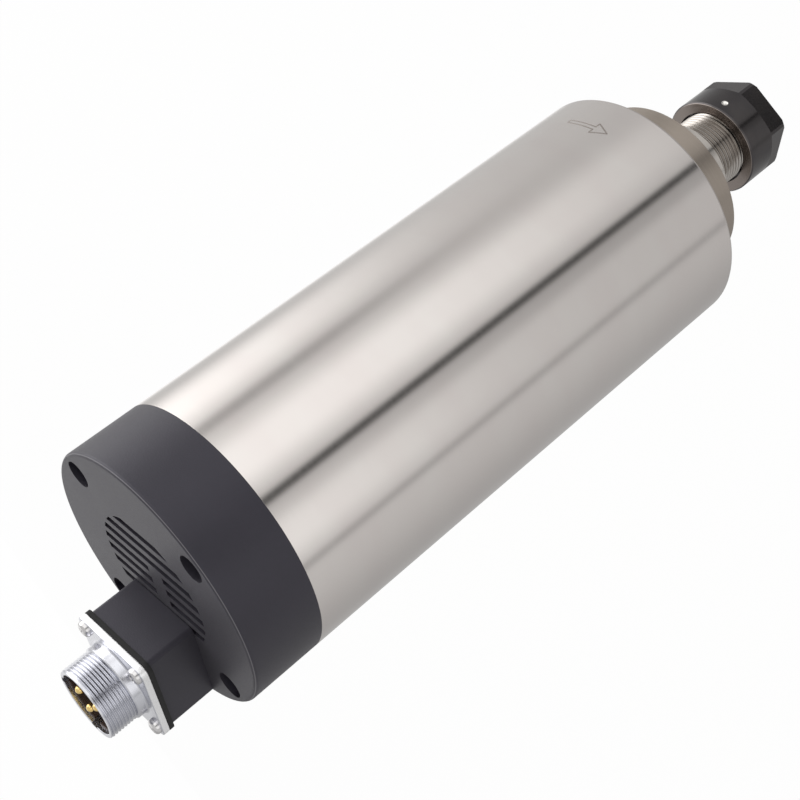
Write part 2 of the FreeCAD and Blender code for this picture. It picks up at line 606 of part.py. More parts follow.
def connector_shell():
    """Die-cast flange with its round collar and the shell that the plug's ring screws on."""
    shell = flange_plate(CON_FLANGE_BACK, CON_FLANGE_FRONT)
    collar_end = CON_FLANGE_FRONT + SHELL_COLLAR_LENGTH
    shell = shell.fuse(disc(SHELL_COLLAR_RADIUS, CON_FLANGE_FRONT, collar_end, 0, BOX_CENTRE_Y))
    shell = shell.fuse(disc(SHELL_RADIUS, CON_FLANGE_FRONT, SHELL_RIM, 0, BOX_CENTRE_Y))
    low = CON_FLANGE_BACK - OVER
    cuts = [disc(SHELL_BORE_RADIUS, low, SHELL_RIM + OVER, 0, BOX_CENTRE_Y)]
    for x, y in connector_screw_places():
        cuts.append(disc(CON_SCREW_RADIUS + SEAT_GAP, low, CON_FLANGE_FRONT + OVER, x, y))
    return shell.cut(Part.makeCompound(cuts))


def contact_places():
    places = []
    for angle in map(math.radians, CONTACT_ANGLES):
        places.append((CONTACT_CIRCLE * math.cos(angle), BOX_CENTRE_Y + CONTACT_CIRCLE * math.sin(angle)))
    return places


def connector_insert():
    """Moulded insulator that holds the contacts in the shell."""
    low = CON_FLANGE_BACK - INSERT_TAIL
    high = CON_FLANGE_BACK + INSERT_THICKNESS
    insert = disc(SHELL_BORE_RADIUS - SEAT_GAP, low, high, 0, BOX_CENTRE_Y)
    radius = CONTACT_RADIUS + SEAT_GAP
    holes = [disc(radius, low - OVER, high + OVER, x, y) for x, y in contact_places()]
    return insert.cut(Part.makeCompound(holes))


def contact_pins():
    """Round contacts with domed tips; their solder cups stand out of the back of the insulator."""
    pins = []
    for x, y in contact_places():
        tip = SHELL_RIM - CONTACT_RECESS - CONTACT_RADIUS
        back = CON_FLANGE_BACK - INSERT_TAIL - SOLDER_CUP_LENGTH
        pin = disc(CONTACT_RADIUS, back, tip, x, y)
        pins.append(pin.fuse(Part.makeSphere(CONTACT_RADIUS, point(x, y, tip))))
    return Part.makeCompound(pins)


def connector_screws():
    """Pan-headed screws at the corners of the flange."""
    top = CON_FLANGE_FRONT + CON_HEAD_HEIGHT
    end = CON_FLANGE_FRONT - CON_SCREW_LENGTH
    screws = []
    for x, y in connector_screw_places():
        head = disc(CON_HEAD_RADIUS, CON_FLANGE_FRONT, top, x, y)
        rim = [edge for edge in head.Edges if edge.BoundBox.ZMin > top - 0.01]
        head = head.makeChamfer(CON_HEAD_EDGE, rim)
        screws.append(head.fuse(disc(CON_SCREW_RADIUS, end, CON_FLANGE_FRONT, x, y)))
    return Part.makeCompound(screws)


def lead(start, corners, end):
    """Insulated lead along straight runs that are joined by tangent arcs."""
    path = [start] + corners + [end]
    edges = []
    last = start
    for before, corner, after in zip(path, corners, path[2:]):
        back = before.sub(corner).normalize()
        ahead = after.sub(corner).normalize()
        half_turn = (math.pi - back.getAngle(ahead)) / 2
        trim = LEAD_BEND * math.tan(half_turn)
        begin = corner.add(point(*back).multiply(trim))
        finish = corner.add(point(*ahead).multiply(trim))
        inward = back.add(ahead).normalize()
        middle = corner.add(inward.multiply(LEAD_BEND / math.cos(half_turn) - LEAD_BEND))
        edges.append(Part.LineSegment(last, begin).toShape())
        edges.append(Part.Arc(begin, middle, finish).toShape())
        last = finish
    edges.append(Part.LineSegment(last, end).toShape())
    section = Part.Wire(Part.Circle(start, path[1].sub(start), LEAD_RADIUS).toShape())
    return Part.Wire(edges).makePipeShell([section], True, True)


def phase_leads():
    """Three leads from the end windings, past the fan, to the solder cups of the contacts."""
    start = STATOR_END + COIL_OVERHANG + SEAT_GAP
    cup = CON_FLANGE_BACK - INSERT_TAIL - SOLDER_CUP_LENGTH - SEAT_GAP
    coil_y = (COIL_INNER + COIL_OUTER) / 2
    first = REAR_BELL_BOTTOM - LEAD_RISE
    last = cup - 2 * LEAD_BEND
    places = [LEAD_SPREAD * index for index in (-1, 0, 1)]
    leads = []
    for x, (to_x, to_y) in zip(places, sorted(contact_places())):
        corners = [point(x, coil_y, first), point(x, LEAD_Y, first + 2 * LEAD_BEND),
                   point(x, LEAD_Y, last - 2 * LEAD_BEND), point(to_x, to_y, last)]
        leads.append(lead(point(x, coil_y, start), corners, point(to_x, to_y, cup)))
    return Part.makeCompound(leads)


def stator_slots(low, high, gap):
    """Slot shapes of the stator; gap narrows them all round for the copper that fills them."""
    start = STATOR_BORE + STATOR_TOOTH_TIP + gap
    end = STATOR_OUTER - STATOR_YOKE - gap
    half = STATOR_SLOT_WIDTH / 2 - gap
    return around(block(point(start, -half, low), point(end, half, high)), STATOR_SLOTS)


def stator_core():
    """Stack of laminations, slotted for the windings."""
    core = ring(STATOR_OUTER, STATOR_BORE, STATOR_START, STATOR_END)
    slots = stator_slots(STATOR_START - OVER, STATOR_END + OVER, 0)
    half = STATOR_SLOT_MOUTH / 2
    mouth = block(point(STATOR_BORE - OVER, -half, STATOR_START - OVER),
                  point(STATOR_BORE + STATOR_TOOTH_TIP + OVER, half, STATOR_END + OVER))
    return core.cut(Part.makeCompound(slots)).cut(Part.makeCompound(around(mouth, STATOR_SLOTS)))


def stator_windings():
    """Copper in the slots and the wound, lacquered heads that stand out of both ends."""
    low = STATOR_START - COIL_OVERHANG
    high = STATOR_END + COIL_OVERHANG
    heads = []
    for bottom, top in ((low, STATOR_START - COIL_GAP), (STATOR_END + COIL_GAP, high)):
        heads.append(turned([(COIL_INNER + COIL_EDGE, bottom), (COIL_OUTER - COIL_EDGE, bottom),
                             (COIL_OUTER, bottom + COIL_EDGE), (COIL_OUTER, top - COIL_EDGE),
                             (COIL_OUTER - COIL_EDGE, top), (COIL_INNER + COIL_EDGE, top),
                             (COIL_INNER, top - COIL_EDGE), (COIL_INNER, bottom + COIL_EDGE)]))
    bars = stator_slots(STATOR_START - OVER, STATOR_END + OVER, COIL_GAP)
    return heads[0].fuse([heads[1]] + bars)


def rotor_core():
    return ring(ROTOR_OUTER, ROTOR_SEAT + SEAT_GAP, STATOR_START, STATOR_END)


def rotor_end_rings():
    """Cast rings that join the rotor's bars, one against each end of the core."""
    lower = ring(END_RING_OUTER, END_RING_INNER, STATOR_START - END_RING_THICKNESS, STATOR_START)
    upper = ring(END_RING_OUTER, END_RING_INNER, STATOR_END, STATOR_END + END_RING_THICKNESS)
    return Part.makeCompound([lower, upper])


def collet_radius(z):
    """Radius of the collet's long taper at a height."""
    return COLLET_BIG_RADIUS - (z - COLLET_BIG_END) * TAPER_SLOPE


def shaft():
    """Shaft: tapered collet socket and thread at the nose, collar, bearing, rotor and fan seats."""
    relief = COLLAR_FRONT - THREAD_RELIEF
    nut_top = BEARING_BACK + LOCK_NUT_THICKNESS
    shoulder = REAR_BEARING_BOTTOM - REAR_SHOULDER_LENGTH
    mouth = collet_radius(NOSE_END) + RUN_GAP
    bore_start = NOSE_END + (mouth - TOOL_BORE_RADIUS) / TAPER_SLOPE
    bore_end = NOSE_END + TOOL_BORE_DEPTH
    body = turned([(mouth, NOSE_END), (THREAD_RADIUS - NOSE_EDGE, NOSE_END),
                   (THREAD_RADIUS, NOSE_END + NOSE_EDGE), (THREAD_RADIUS, relief),
                   (THREAD_RELIEF_RADIUS, relief), (THREAD_RELIEF_RADIUS, COLLAR_FRONT),
                   (COLLAR_RADIUS, COLLAR_FRONT), (COLLAR_RADIUS, BEARING_FRONT),
                   (FRONT_BORE, BEARING_FRONT), (FRONT_BORE, nut_top), (ROTOR_SEAT, nut_top),
                   (ROTOR_SEAT, shoulder), (REAR_SHOULDER_RADIUS, shoulder),
                   (REAR_SHOULDER_RADIUS, REAR_BEARING_BOTTOM), (REAR_BORE, REAR_BEARING_BOTTOM),
                   (REAR_BORE, REAR_BEARING_TOP), (FAN_SEAT, REAR_BEARING_TOP), (FAN_SEAT, SHAFT_TOP),
                   (0, SHAFT_TOP), (0, bore_end + TOOL_BORE_RADIUS), (TOOL_BORE_RADIUS, bore_end),
                   (TOOL_BORE_RADIUS, bore_start)])
    groove = ring(FAN_SEAT + OVER, FAN_SEAT - CIRCLIP_GROOVE, FAN_TOP, FAN_TOP + CIRCLIP_THICKNESS)
    flat = block(point(COLLAR_FLATS / 2, -COLLAR_RADIUS, COLLAR_FRONT - OVER),
                 point(COLLAR_RADIUS + OVER, COLLAR_RADIUS, COLLAR_FRONT + COLLAR_FLAT_LENGTH))
    return body.cut(Part.makeCompound([groove] + around(flat, 2, COLLAR_FLAT_ANGLE)))


def bearing_lock_nut():
    """Slotted round nut that clamps the front inner rings against the collar."""
    top = BEARING_BACK + LOCK_NUT_THICKNESS
    half = LOCK_NUT_SLOT / 2
    nut = ring(LOCK_NUT_RADIUS, FRONT_BORE + SEAT_GAP, BEARING_BACK, top)
    slot = block(point(LOCK_NUT_RADIUS - LOCK_NUT_SLOT_DEPTH, -half, BEARING_BACK + half),
                 point(LOCK_NUT_RADIUS + OVER, half, top + OVER))
    return nut.cut(Part.makeCompound(around(slot, 4)))


def cooling_fan():
    """Moulded fan: hub on the shaft's tail and blades set at an angle to the axis."""
    middle = (FAN_BOTTOM + FAN_TOP) / 2
    fan = ring(FAN_HUB_RADIUS, FAN_SEAT + SEAT_GAP, FAN_BOTTOM, FAN_TOP)
    root = (FAN_SEAT + FAN_HUB_RADIUS) / 2
    blade = block(point(root, -FAN_BLADE_THICKNESS / 2, middle - FAN_BLADE_CHORD / 2),
                  point(FAN_RADIUS + OVER, FAN_BLADE_THICKNESS / 2, middle + FAN_BLADE_CHORD / 2))
    blade.rotate(point(0, 0, middle), point(1, 0, 0), FAN_BLADE_ANGLE)
    blade = blade.common(ring(FAN_RADIUS, root, FAN_BOTTOM, FAN_TOP))
    return fan.fuse(around(blade, FAN_BLADES))


def fan_spacer():
    """Distance ring between the rear bearing's inner ring and the fan's hub."""
    return ring(FAN_SPACER_RADIUS, FAN_SEAT + SEAT_GAP, REAR_BEARING_TOP, FAN_BOTTOM)


def fan_circlip():
    """Spring ring in the shaft's groove, open on one side, that keeps the fan on."""
    clip = ring(CIRCLIP_OUTER, FAN_SEAT - CIRCLIP_GROOVE + SEAT_GAP, FAN_TOP, FAN_TOP + CIRCLIP_THICKNESS)
    return clip.cut(sector(CIRCLIP_OUTER + OVER, 0.1, FAN_TOP - OVER, FAN_TOP + CIRCLIP_THICKNESS + OVER,
                           0, CIRCLIP_OPENING))


def collet():
    """Spring collet: long taper, groove for the nut's ring, steep front cone and slots from both ends."""
    groove_high = COLLET_BIG_END - COLLET_GROOVE_LEAD
    groove_low = groove_high - COLLET_GROOVE_WIDTH
    cone_high = groove_low - COLLET_HEAD_BAND
    front_radius = COLLET_HEAD_RADIUS - (cone_high - COLLET_FRONT) * CONE_SLOPE
    body = turned([(COLLET_BORE_RADIUS, COLLET_FRONT), (front_radius, COLLET_FRONT),
                   (COLLET_HEAD_RADIUS, cone_high), (COLLET_HEAD_RADIUS, groove_low),
                   (COLLET_GROOVE_RADIUS, groove_low), (COLLET_GROOVE_RADIUS, groove_high),
                   (COLLET_BIG_RADIUS, COLLET_BIG_END), (collet_radius(COLLET_REAR), COLLET_REAR),
                   (COLLET_BORE_RADIUS, COLLET_REAR)])
    half = COLLET_SLOT_WIDTH / 2
    reach = COLLET_BIG_RADIUS + OVER
    front_end = COLLET_REAR - COLLET_SLOT_END
    rear_end = COLLET_FRONT + COLLET_SLOT_END
    from_front = block(point(0, -half, COLLET_FRONT - OVER), point(reach, half, front_end))
    from_rear = block(point(0, -half, rear_end), point(reach, half, COLLET_REAR + OVER))
    slots = around(from_front, COLLET_SLOTS, COLLET_SLOT_START)
    slots += around(from_rear, COLLET_SLOTS, COLLET_SLOT_START + 180.0 / COLLET_SLOTS)
    return body.cut(Part.makeCompound(slots))


def nut_ring_top():
    """Rear face of the ring that sits in the collet's groove."""
    groove_high = COLLET_BIG_END - COLLET_GROOVE_LEAD
    return groove_high - (COLLET_GROOVE_WIDTH - NUT_RING_THICKNESS) / 2


def collet_nut():
    """Round nut with six flats at the front; its inside holds the thread, the ring and the front cone."""
    mouth = NUT_REAR - NUT_MOUTH_DEPTH
    thread_end = mouth - NUT_THREAD_LENGTH
    ring_top = nut_ring_top()
    ring_low = ring_top - NUT_RING_THICKNESS
    groove_low = COLLET_BIG_END - COLLET_GROOVE_LEAD - COLLET_GROOVE_WIDTH
    cone_high = groove_low - COLLET_HEAD_BAND
    cone_radius = COLLET_HEAD_RADIUS + CONE_GAP
    front_radius = cone_radius - (cone_high - NUT_FRONT) * CONE_SLOPE
    bore = THREAD_RADIUS + RUN_GAP
    edge = NUT_RADIUS - NUT_EDGE
    nut = turned([(NUT_RING_OUTER, ring_low), (cone_radius, ring_low), (cone_radius, cone_high),
                  (front_radius, NUT_FRONT), (edge, NUT_FRONT), (NUT_RADIUS, NUT_FRONT + NUT_EDGE),
                  (NUT_RADIUS, NUT_REAR - NUT_EDGE), (edge, NUT_REAR), (NUT_MOUTH_RADIUS, NUT_REAR),
                  (NUT_MOUTH_RADIUS, mouth), (bore, mouth), (bore, thread_end),
                  (NUT_RING_OUTER, thread_end)])
    flat = NUT_ACROSS_FLATS / 2
    depth = NUT_RADIUS - flat + OVER
    run = depth / math.tan(math.radians(NUT_RUNOUT_ANGLE))
    top = NUT_FRONT + NUT_FLAT_LENGTH
    outer = flat + depth
    section = [point(flat, -NUT_RADIUS, NUT_FRONT - OVER), point(flat, -NUT_RADIUS, top),
               point(outer, -NUT_RADIUS, top + run), point(outer, -NUT_RADIUS, NUT_FRONT - OVER)]
    cutter = Part.Face(Part.makePolygon(section + section[:1])).extrude(point(0, 2 * NUT_RADIUS, 0))
    pit_start = point(NUT_RADIUS - BALANCE_PIT_DEPTH, 0, 0)
    pit = Part.makeCone(0, BALANCE_PIT_RADIUS, BALANCE_PIT_DEPTH, pit_start, point(1, 0, 0))
    pit.translate(point(0, 0, NUT_REAR - BALANCE_PIT_BACK))
    nut = nut.cut(Part.makeCompound(around(cutter, 6, NUT_FLAT_START)))
    return nut.cut(turned_copy(pit, BALANCE_PIT_ANGLE))


def extractor_ring():
    """Ring inside the nut that reaches into the collet's groove and pulls the collet out with the nut."""
    top = nut_ring_top()
    return ring(NUT_RING_OUTER - SEAT_GAP, NUT_RING_BORE, top - NUT_RING_THICKNESS, top)


save("housing_tube", housing_tube())
save("finned_sleeve", finned_sleeve())
save("bearing_housing", bearing_housing())
save("front_flange", front_flange())
save("front_flange_screws", front_flange_screws())
save("front_retainer", front_retainer())
save("dust_ring", dust_ring())
save_front_bearings()
save_rear_bearing()
save("disc_spring", disc_spring())
save("rear_bell", rear_bell())
save("rear_cap", rear_cap())
save("cap_screws", cap_screws())
save("connector_box", connector_box())
save("connector_gasket", connector_gasket())
save("connector_shell", connector_shell())
save("connector_insert", connector_insert())
save("contact_pins", contact_pins())
save("connector_screws", connector_screws())
save("phase_leads", phase_leads())
save("stator_core", stator_core())
save("stator_windings", stator_windings())
save("rotor_core", rotor_core())
save("rotor_end_rings", rotor_end_rings())
save("spindle_shaft", shaft())
save("bearing_lock_nut", bearing_lock_nut())
save("fan_spacer", fan_spacer())
save("cooling_fan", cooling_fan())
save("fan_circlip", fan_circlip())
save("collet", collet())
save("collet_nut", collet_nut())
save("extractor_ring", extractor_ring())
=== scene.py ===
import math
import bmesh
import bpy
from mathutils import Euler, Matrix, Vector


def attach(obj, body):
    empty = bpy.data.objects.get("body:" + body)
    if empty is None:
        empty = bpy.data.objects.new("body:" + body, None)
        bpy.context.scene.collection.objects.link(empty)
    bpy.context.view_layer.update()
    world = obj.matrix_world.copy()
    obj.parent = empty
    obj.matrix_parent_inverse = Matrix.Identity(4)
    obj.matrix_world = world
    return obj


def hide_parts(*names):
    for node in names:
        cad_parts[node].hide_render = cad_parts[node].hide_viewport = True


# Air-cooled motor spindle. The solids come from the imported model; this script gives every piece its
# finish, and models the threads, the screws and the small rounded edges that the solids leave plain.
# Sizes and colours of a piece stand in its own section. Lengths are in millimetres unless said.
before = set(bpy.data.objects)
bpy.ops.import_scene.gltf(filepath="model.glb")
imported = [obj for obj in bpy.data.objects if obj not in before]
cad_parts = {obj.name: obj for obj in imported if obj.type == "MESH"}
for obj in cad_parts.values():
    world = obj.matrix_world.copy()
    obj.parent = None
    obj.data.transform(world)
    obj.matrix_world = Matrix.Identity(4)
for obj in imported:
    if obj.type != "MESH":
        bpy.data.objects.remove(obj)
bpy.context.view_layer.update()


# View
# The camera stands above the rear end of the spindle and is turned over, so the nose points up and to
# the right, as it lies in the photograph. Its place is in metres.
CAMERA_PLACE = (-0.24333, -0.29680, 0.29266)
CAMERA_TURN = (-48.365, 45.461, 169.74)
CAMERA_LENS = 66.2625
CAMERA_SENSOR = 36.0
CAMERA_NEAREST = 0.01
CAMERA_SHIFT = (0.01395, -0.12059)
camera_data = bpy.data.cameras.new("camera")
camera_data.sensor_width = CAMERA_SENSOR
camera_data.lens = CAMERA_LENS
camera_data.shift_x, camera_data.shift_y = CAMERA_SHIFT
camera_data.clip_start = CAMERA_NEAREST
camera = bpy.data.objects.new("camera", camera_data)
camera.location = CAMERA_PLACE
camera.rotation_euler = Euler([math.radians(angle) for angle in CAMERA_TURN], "XYZ")
bpy.context.scene.collection.objects.link(camera)
bpy.context.scene.camera = camera
bpy.context.scene.view_settings.view_transform = "Standard"


# Steel body tube
# Stainless steel tube, 80 mm across, ground on the outside, so fine lines run round it. It is clamped
# between the front flange and the rear cap. The arrow for the way of turning is engraved near its front.
TUBE_PROFILE = [(37.2, 0.3), (37.5, 0.0), (39.55, 0.0), (39.85, 0.12), (40.0, 0.42), (40.0, 0.8),
                (40.0, 171.9), (40.0, 172.3), (39.9, 172.4), (37.2, 172.4)]
TUBE_RADIUS = 40.0
TUBE_STEPS = 240
ARROW = [(-7.7, 0.0), (-2.85, -2.65), (-2.8, -0.75), (7.3, -0.75), (7.0, 0.75), (-2.8, 0.75), (-2.85, 2.65)]
ARROW_DIRECTION = math.radians(-84.5)
ARROW_HEIGHT = 14.3
ARROW_LINE = (0.12, 0.384)          # from the middle of the line to where it starts and ends to fade
ENGRAVING_DEPTH = 2.0               # as a multiple of the ground lines' depth
ENGRAVING_SHARE = 0.72
STEEL_DULL = (0.655, 0.608, 0.591, 1)
STEEL_CLEAN = (0.690, 0.662, 0.639, 1)
STEEL_ENGRAVED = (0.16, 0.13, 0.11, 1)
MERGE = 1e-4                        # corners nearer than this are one corner
METRE = 1000.0                      # in millimetres


class Value:
    """One output of a shader node. Arithmetic on it adds Math nodes beside that node."""

    def __init__(self, shading, socket):
        self.shading = shading
        self.socket = socket

    def worked(self, operation, *terms):
        return self.shading.node("ShaderNodeMath", {"operation": operation}, dict(enumerate(terms)))

    def __add__(self, other):
        return self.worked("ADD", self, other)

    def __radd__(self, other):
        return self.worked("ADD", other, self)

    def __sub__(self, other):
        return self.worked("SUBTRACT", self, other)

    def __rsub__(self, other):
        return self.worked("SUBTRACT", other, self)

    def __mul__(self, other):
        return self.worked("MULTIPLY", self, other)

    def __rmul__(self, other):
        return self.worked("MULTIPLY", other, self)

    def __truediv__(self, other):
        return self.worked("DIVIDE", self, other)

    def __rtruediv__(self, other):
        return self.worked("DIVIDE", other, self)

    def __pow__(self, other):
        return self.worked("POWER", self, other)

    def __rpow__(self, other):
        return self.worked("POWER", other, self)

    def __abs__(self):
        return self.worked("ABSOLUTE", self)


class Shading:
    """The nodes of one material or of the world."""

    def __init__(self, tree):
        self.tree = tree

    def give(self, node, values):
        """Set a node's sockets to plain values or link them to other nodes."""
        for name, value in values.items():
            if isinstance(value, Value):
                self.tree.links.new(value.socket, node.inputs[name])
            else:
                node.inputs[name].default_value = value

    def node(self, kind, settings=None, values=None, output=0):
        """Add a node: its settings first, then its sockets. Gives back one of its outputs."""
        node = self.tree.nodes.new(kind)
        for name, value in (settings or {}).items():
            setattr(node, name, value)
        self.give(node, values or {})
        return Value(self, node.outputs[output])

    def fade(self, value, start, end, first=0.0, last=1.0):
        """A smooth change from first to last while the value goes from start to end."""
        limits = {"Value": value, "From Min": start, "From Max": end, "To Min": first, "To Max": last}
        return self.node("ShaderNodeMapRange", {"interpolation_type": "SMOOTHSTEP"}, limits)

    def blend(self, share, first, second):
        """A colour between two colours."""
        return self.node("ShaderNodeMix", {"data_type": "RGBA"}, {0: share, 6: first, 7: second}, 2)


class Finish(Shading):
    """A procedural material. What is the same all over sits on the shader's own sockets."""

    def __init__(self, name, constants):
        self.material = bpy.data.materials.new(name)
        self.material.use_nodes = True
        super().__init__(self.material.node_tree)
        self.shader = self.tree.nodes["Principled BSDF"]
        self.give(self.shader, constants)
        self.place = self.node("ShaderNodeTexCoord", output="Object")

    def surface(self, values):
        """What changes over the surface: its colour, roughness and relief."""
        self.give(self.shader, values)

    def along(self, axis):
        """How far a point lies along X, Y or Z, in millimetres."""
        return self.node("ShaderNodeSeparateXYZ", {}, {"Vector": self.place}, axis) * METRE

    def grain(self, spacing, detail=2.0, roughness=0.5):
        """Noise whose size along X, Y and Z is given in millimetres."""
        scale = tuple(METRE / step for step in spacing)
        spread = self.node("ShaderNodeMapping", {}, {"Vector": self.place, "Scale": scale})
        return self.node("ShaderNodeTexNoise", {}, {"Vector": spread, "Scale": 1.0, "Detail": detail,
                                                   "Roughness": roughness})

    def relief(self, height, depth, strength=1.0):
        """Bumps on the surface; depth is in millimetres."""
        return self.node("ShaderNodeBump", {}, {"Height": height, "Distance": depth / METRE,
                                                "Strength": strength})


def turned(profile, steps):
    """Turn a closed outline of (radius, height) corners about the spindle's axis."""
    mesh = bmesh.new()
    corners = [mesh.verts.new((radius, 0.0, height)) for radius, height in profile]
    edges = [mesh.edges.new(pair) for pair in zip(corners, corners[1:] + corners[:1])]
    bmesh.ops.spin(mesh, geom=corners + edges, cent=(0, 0, 0), axis=(0, 0, 1), angle=math.tau,
                   steps=steps, use_merge=True)
    bmesh.ops.remove_doubles(mesh, verts=mesh.verts, dist=MERGE)
    bmesh.ops.recalc_face_normals(mesh, faces=mesh.faces)
    return mesh


def piece(name, mesh, finish, body, slot, *nodes, crease=30.0):
    """Make an object of a mesh in millimetres, which rides on a body and stands for CAD nodes.

    Edges that turn by more than the crease angle stay sharp. The shading follows the large faces, so
    that a small rounded edge doesn't tilt the reflections on the wall beside it.
    """
    bmesh.ops.scale(mesh, vec=(1 / METRE, 1 / METRE, 1 / METRE), verts=mesh.verts)
    for face in mesh.faces:
        face.smooth = True
    for edge in mesh.edges:
        edge.smooth = edge.calc_face_angle(math.pi) < math.radians(crease)
    data = bpy.data.meshes.new(name)
    mesh.to_mesh(data)
    mesh.free()
    data.materials.append(finish.material)
    made = bpy.data.objects.new(name, data)
    bpy.context.scene.collection.objects.link(made)
    shading = made.modifiers.new("even_faces", "WEIGHTED_NORMAL")
    shading.keep_sharp = True
    if nodes:
        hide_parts(*nodes)
    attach(made, body)
    return made


ground_steel = Finish("ground_steel", {"Metallic": 1.0, "Anisotropic": 0.7, "Anisotropic Rotation": 0.25})
lines = ground_steel.grain((9.0, 9.0, 0.35), detail=4.0, roughness=0.65)
smears = ground_steel.grain((30.0, 30.0, 11.0), detail=2.0)
x, y, z = (ground_steel.along(axis) for axis in "XYZ")
along = (y.worked("ARCTAN2", y, x) - ARROW_DIRECTION) * TUBE_RADIUS
across = z - ARROW_HEIGHT
nearest = None
for (ax, ay), (bx, by) in zip(ARROW, ARROW[1:] + ARROW[:1]):
    from_x = along - ax
    from_y = across - ay
    length = (bx - ax) ** 2 + (by - ay) ** 2
    share = (from_x * (bx - ax) + from_y * (by - ay)) / length
    share = share.worked("MINIMUM", share.worked("MAXIMUM", share, 0.0), 1.0)
    off_x = from_x - share * (bx - ax)
    off_y = from_y - share * (by - ay)
    squared = off_x * off_x + off_y * off_y
    nearest = squared if nearest is None else nearest.worked("MINIMUM", nearest, squared)
engraved = ground_steel.fade(nearest ** 0.5, *ARROW_LINE, 1.0, 0.0)
steel_colour = ground_steel.blend(smears, STEEL_DULL, STEEL_CLEAN)
steel_colour = ground_steel.blend(engraved * ENGRAVING_SHARE, steel_colour, STEEL_ENGRAVED)
marks = lines - engraved * ENGRAVING_DEPTH
ground_steel.surface({"Base Color": steel_colour,
                      "Roughness": 0.14 + lines * 0.08 + engraved * 0.3,
                      "Normal": ground_steel.relief(marks, depth=0.012, strength=0.25)})
piece("body_tube", turned(TUBE_PROFILE, TUBE_STEPS), ground_steel, "housing", "brushed_tube", "housing_tube")


# Rear cap and connector box
# Both are moulded in black plastic with a fine matte grain. The cap is screwed on, flush with the tube;
# a thin highlight is painted along the round of its rim. The box stands on its rear face.
CAP_RADIUS = 40.0
CAP_TOP = 195.0
RIM_HIGHLIGHT_WIDTH = (0.05, 0.3)             # from the middle of the rim's round to the sides of the painted highlight
RIM_HIGHLIGHT_OUTWARD = (1.4, 0.7)            # inside the cap's outer wall, where the line fades in
RIM_HIGHLIGHT_UPWARD = (1.2, 0.7)             # below the rear face, where the line fades in
RIM_HIGHLIGHT_SHARE = 0.7
RIM_HIGHLIGHT_COLOUR = (0.17, 0.165, 0.175, 1)
PLASTIC_DARK = (0.0100, 0.0085, 0.0135, 1)
PLASTIC_LIGHT = (0.0185, 0.0160, 0.0235, 1)
BOX_EDGE = 0.25
FLAT_ENOUGH = math.radians(0.6)     # faces that turn by less than this are one face


def copied(node):
    """A copy of a CAD node in millimetres, with its loose triangles joined into whole faces."""
    mesh = bmesh.new()
    mesh.from_mesh(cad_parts[node].data)
    bmesh.ops.scale(mesh, vec=(METRE, METRE, METRE), verts=mesh.verts)
    bmesh.ops.remove_doubles(mesh, verts=mesh.verts, dist=MERGE)
    bmesh.ops.dissolve_limit(mesh, angle_limit=FLAT_ENOUGH, verts=mesh.verts, edges=mesh.edges)
    return mesh


def round_edges(mesh, width, least=35.0, picked=None):
    """Round the edges that turn by more than the least angle, or those of them that are picked."""
    edges = [edge for edge in mesh.edges
             if edge.is_manifold and edge.calc_face_angle(0.0) > math.radians(least)
             and (picked is None or picked(edge))]
    bmesh.ops.bevel(mesh, geom=edges, offset=width, segments=2, profile=0.5, affect="EDGES",
                    material=-1, clamp_overlap=True)
    return mesh


cap_plastic = Finish("cap_plastic", {"Metallic": 0.0, "Specular IOR Level": 0.6, "Sheen Weight": 0.06,
                                     "Sheen Roughness": 0.4, "Specular Tint": (0.90, 0.89, 1.0, 1)})
grain = cap_plastic.grain((0.45, 0.45, 0.45), detail=3.0, roughness=0.6)
clouds = cap_plastic.grain((14.0, 14.0, 14.0), detail=3.0)
x, y, height = (cap_plastic.along(axis) for axis in "XYZ")
reach = (x * x + y * y) ** 0.5
highlight_start, highlight_end = (CAP_RADIUS - inward for inward in RIM_HIGHLIGHT_OUTWARD)
highlight_low, highlight_high = (CAP_TOP - below for below in RIM_HIGHLIGHT_UPWARD)
# Painted highlight: a thin light line along the round between the cap's wall and its rear face.
rim_highlight = cap_plastic.fade(abs(reach - height + CAP_TOP - CAP_RADIUS), *RIM_HIGHLIGHT_WIDTH, 1.0, 0.0)
rim_highlight = rim_highlight * cap_plastic.fade(reach, highlight_start, highlight_end) * cap_plastic.fade(height, highlight_low, highlight_high)
plastic_colour = cap_plastic.blend(clouds, PLASTIC_DARK, PLASTIC_LIGHT)
cap_plastic.surface({"Base Color": cap_plastic.blend(rim_highlight * RIM_HIGHLIGHT_SHARE, plastic_colour, RIM_HIGHLIGHT_COLOUR),
                     "Roughness": 0.38 + grain * 0.14 + clouds * 0.06,
                     "Normal": cap_plastic.relief(grain, depth=0.06, strength=0.7)})
piece("fan_cap", copied("rear_cap"), cap_plastic, "housing", "cap_plastic", "rear_cap")
box_mesh = round_edges(copied("connector_box"), BOX_EDGE)
piece("plug_box", box_mesh, cap_plastic, "housing", "cap_plastic", "connector_box")


# Gasket
# Black rubber plate between the box and the connector. It is cut to the flange's outline, and the
# flange's screws press it flat.
GASKET_EDGE = 0.3
RUBBER_DARK = (0.010, 0.010, 0.011, 1)
RUBBER_LIGHT = (0.022, 0.022, 0.022, 1)
rubber = Finish("rubber", {"Metallic": 0.0, "Specular IOR Level": 0.35})
speckle = rubber.grain((0.3, 0.3, 0.3), detail=2.0)
bulge = rubber.grain((5.0, 5.0, 2.0), detail=1.0)
rubber.surface({"Base Color": rubber.blend(speckle, RUBBER_DARK, RUBBER_LIGHT),
                "Roughness": 0.62 + speckle * 0.2,
                "Normal": rubber.relief(speckle * 0.4 + bulge, depth=0.15, strength=0.5)})
gasket_mesh = round_edges(copied("connector_gasket"), GASKET_EDGE)
piece("flange_gasket", gasket_mesh, rubber, "housing", "gasket_rubber", "connector_gasket")


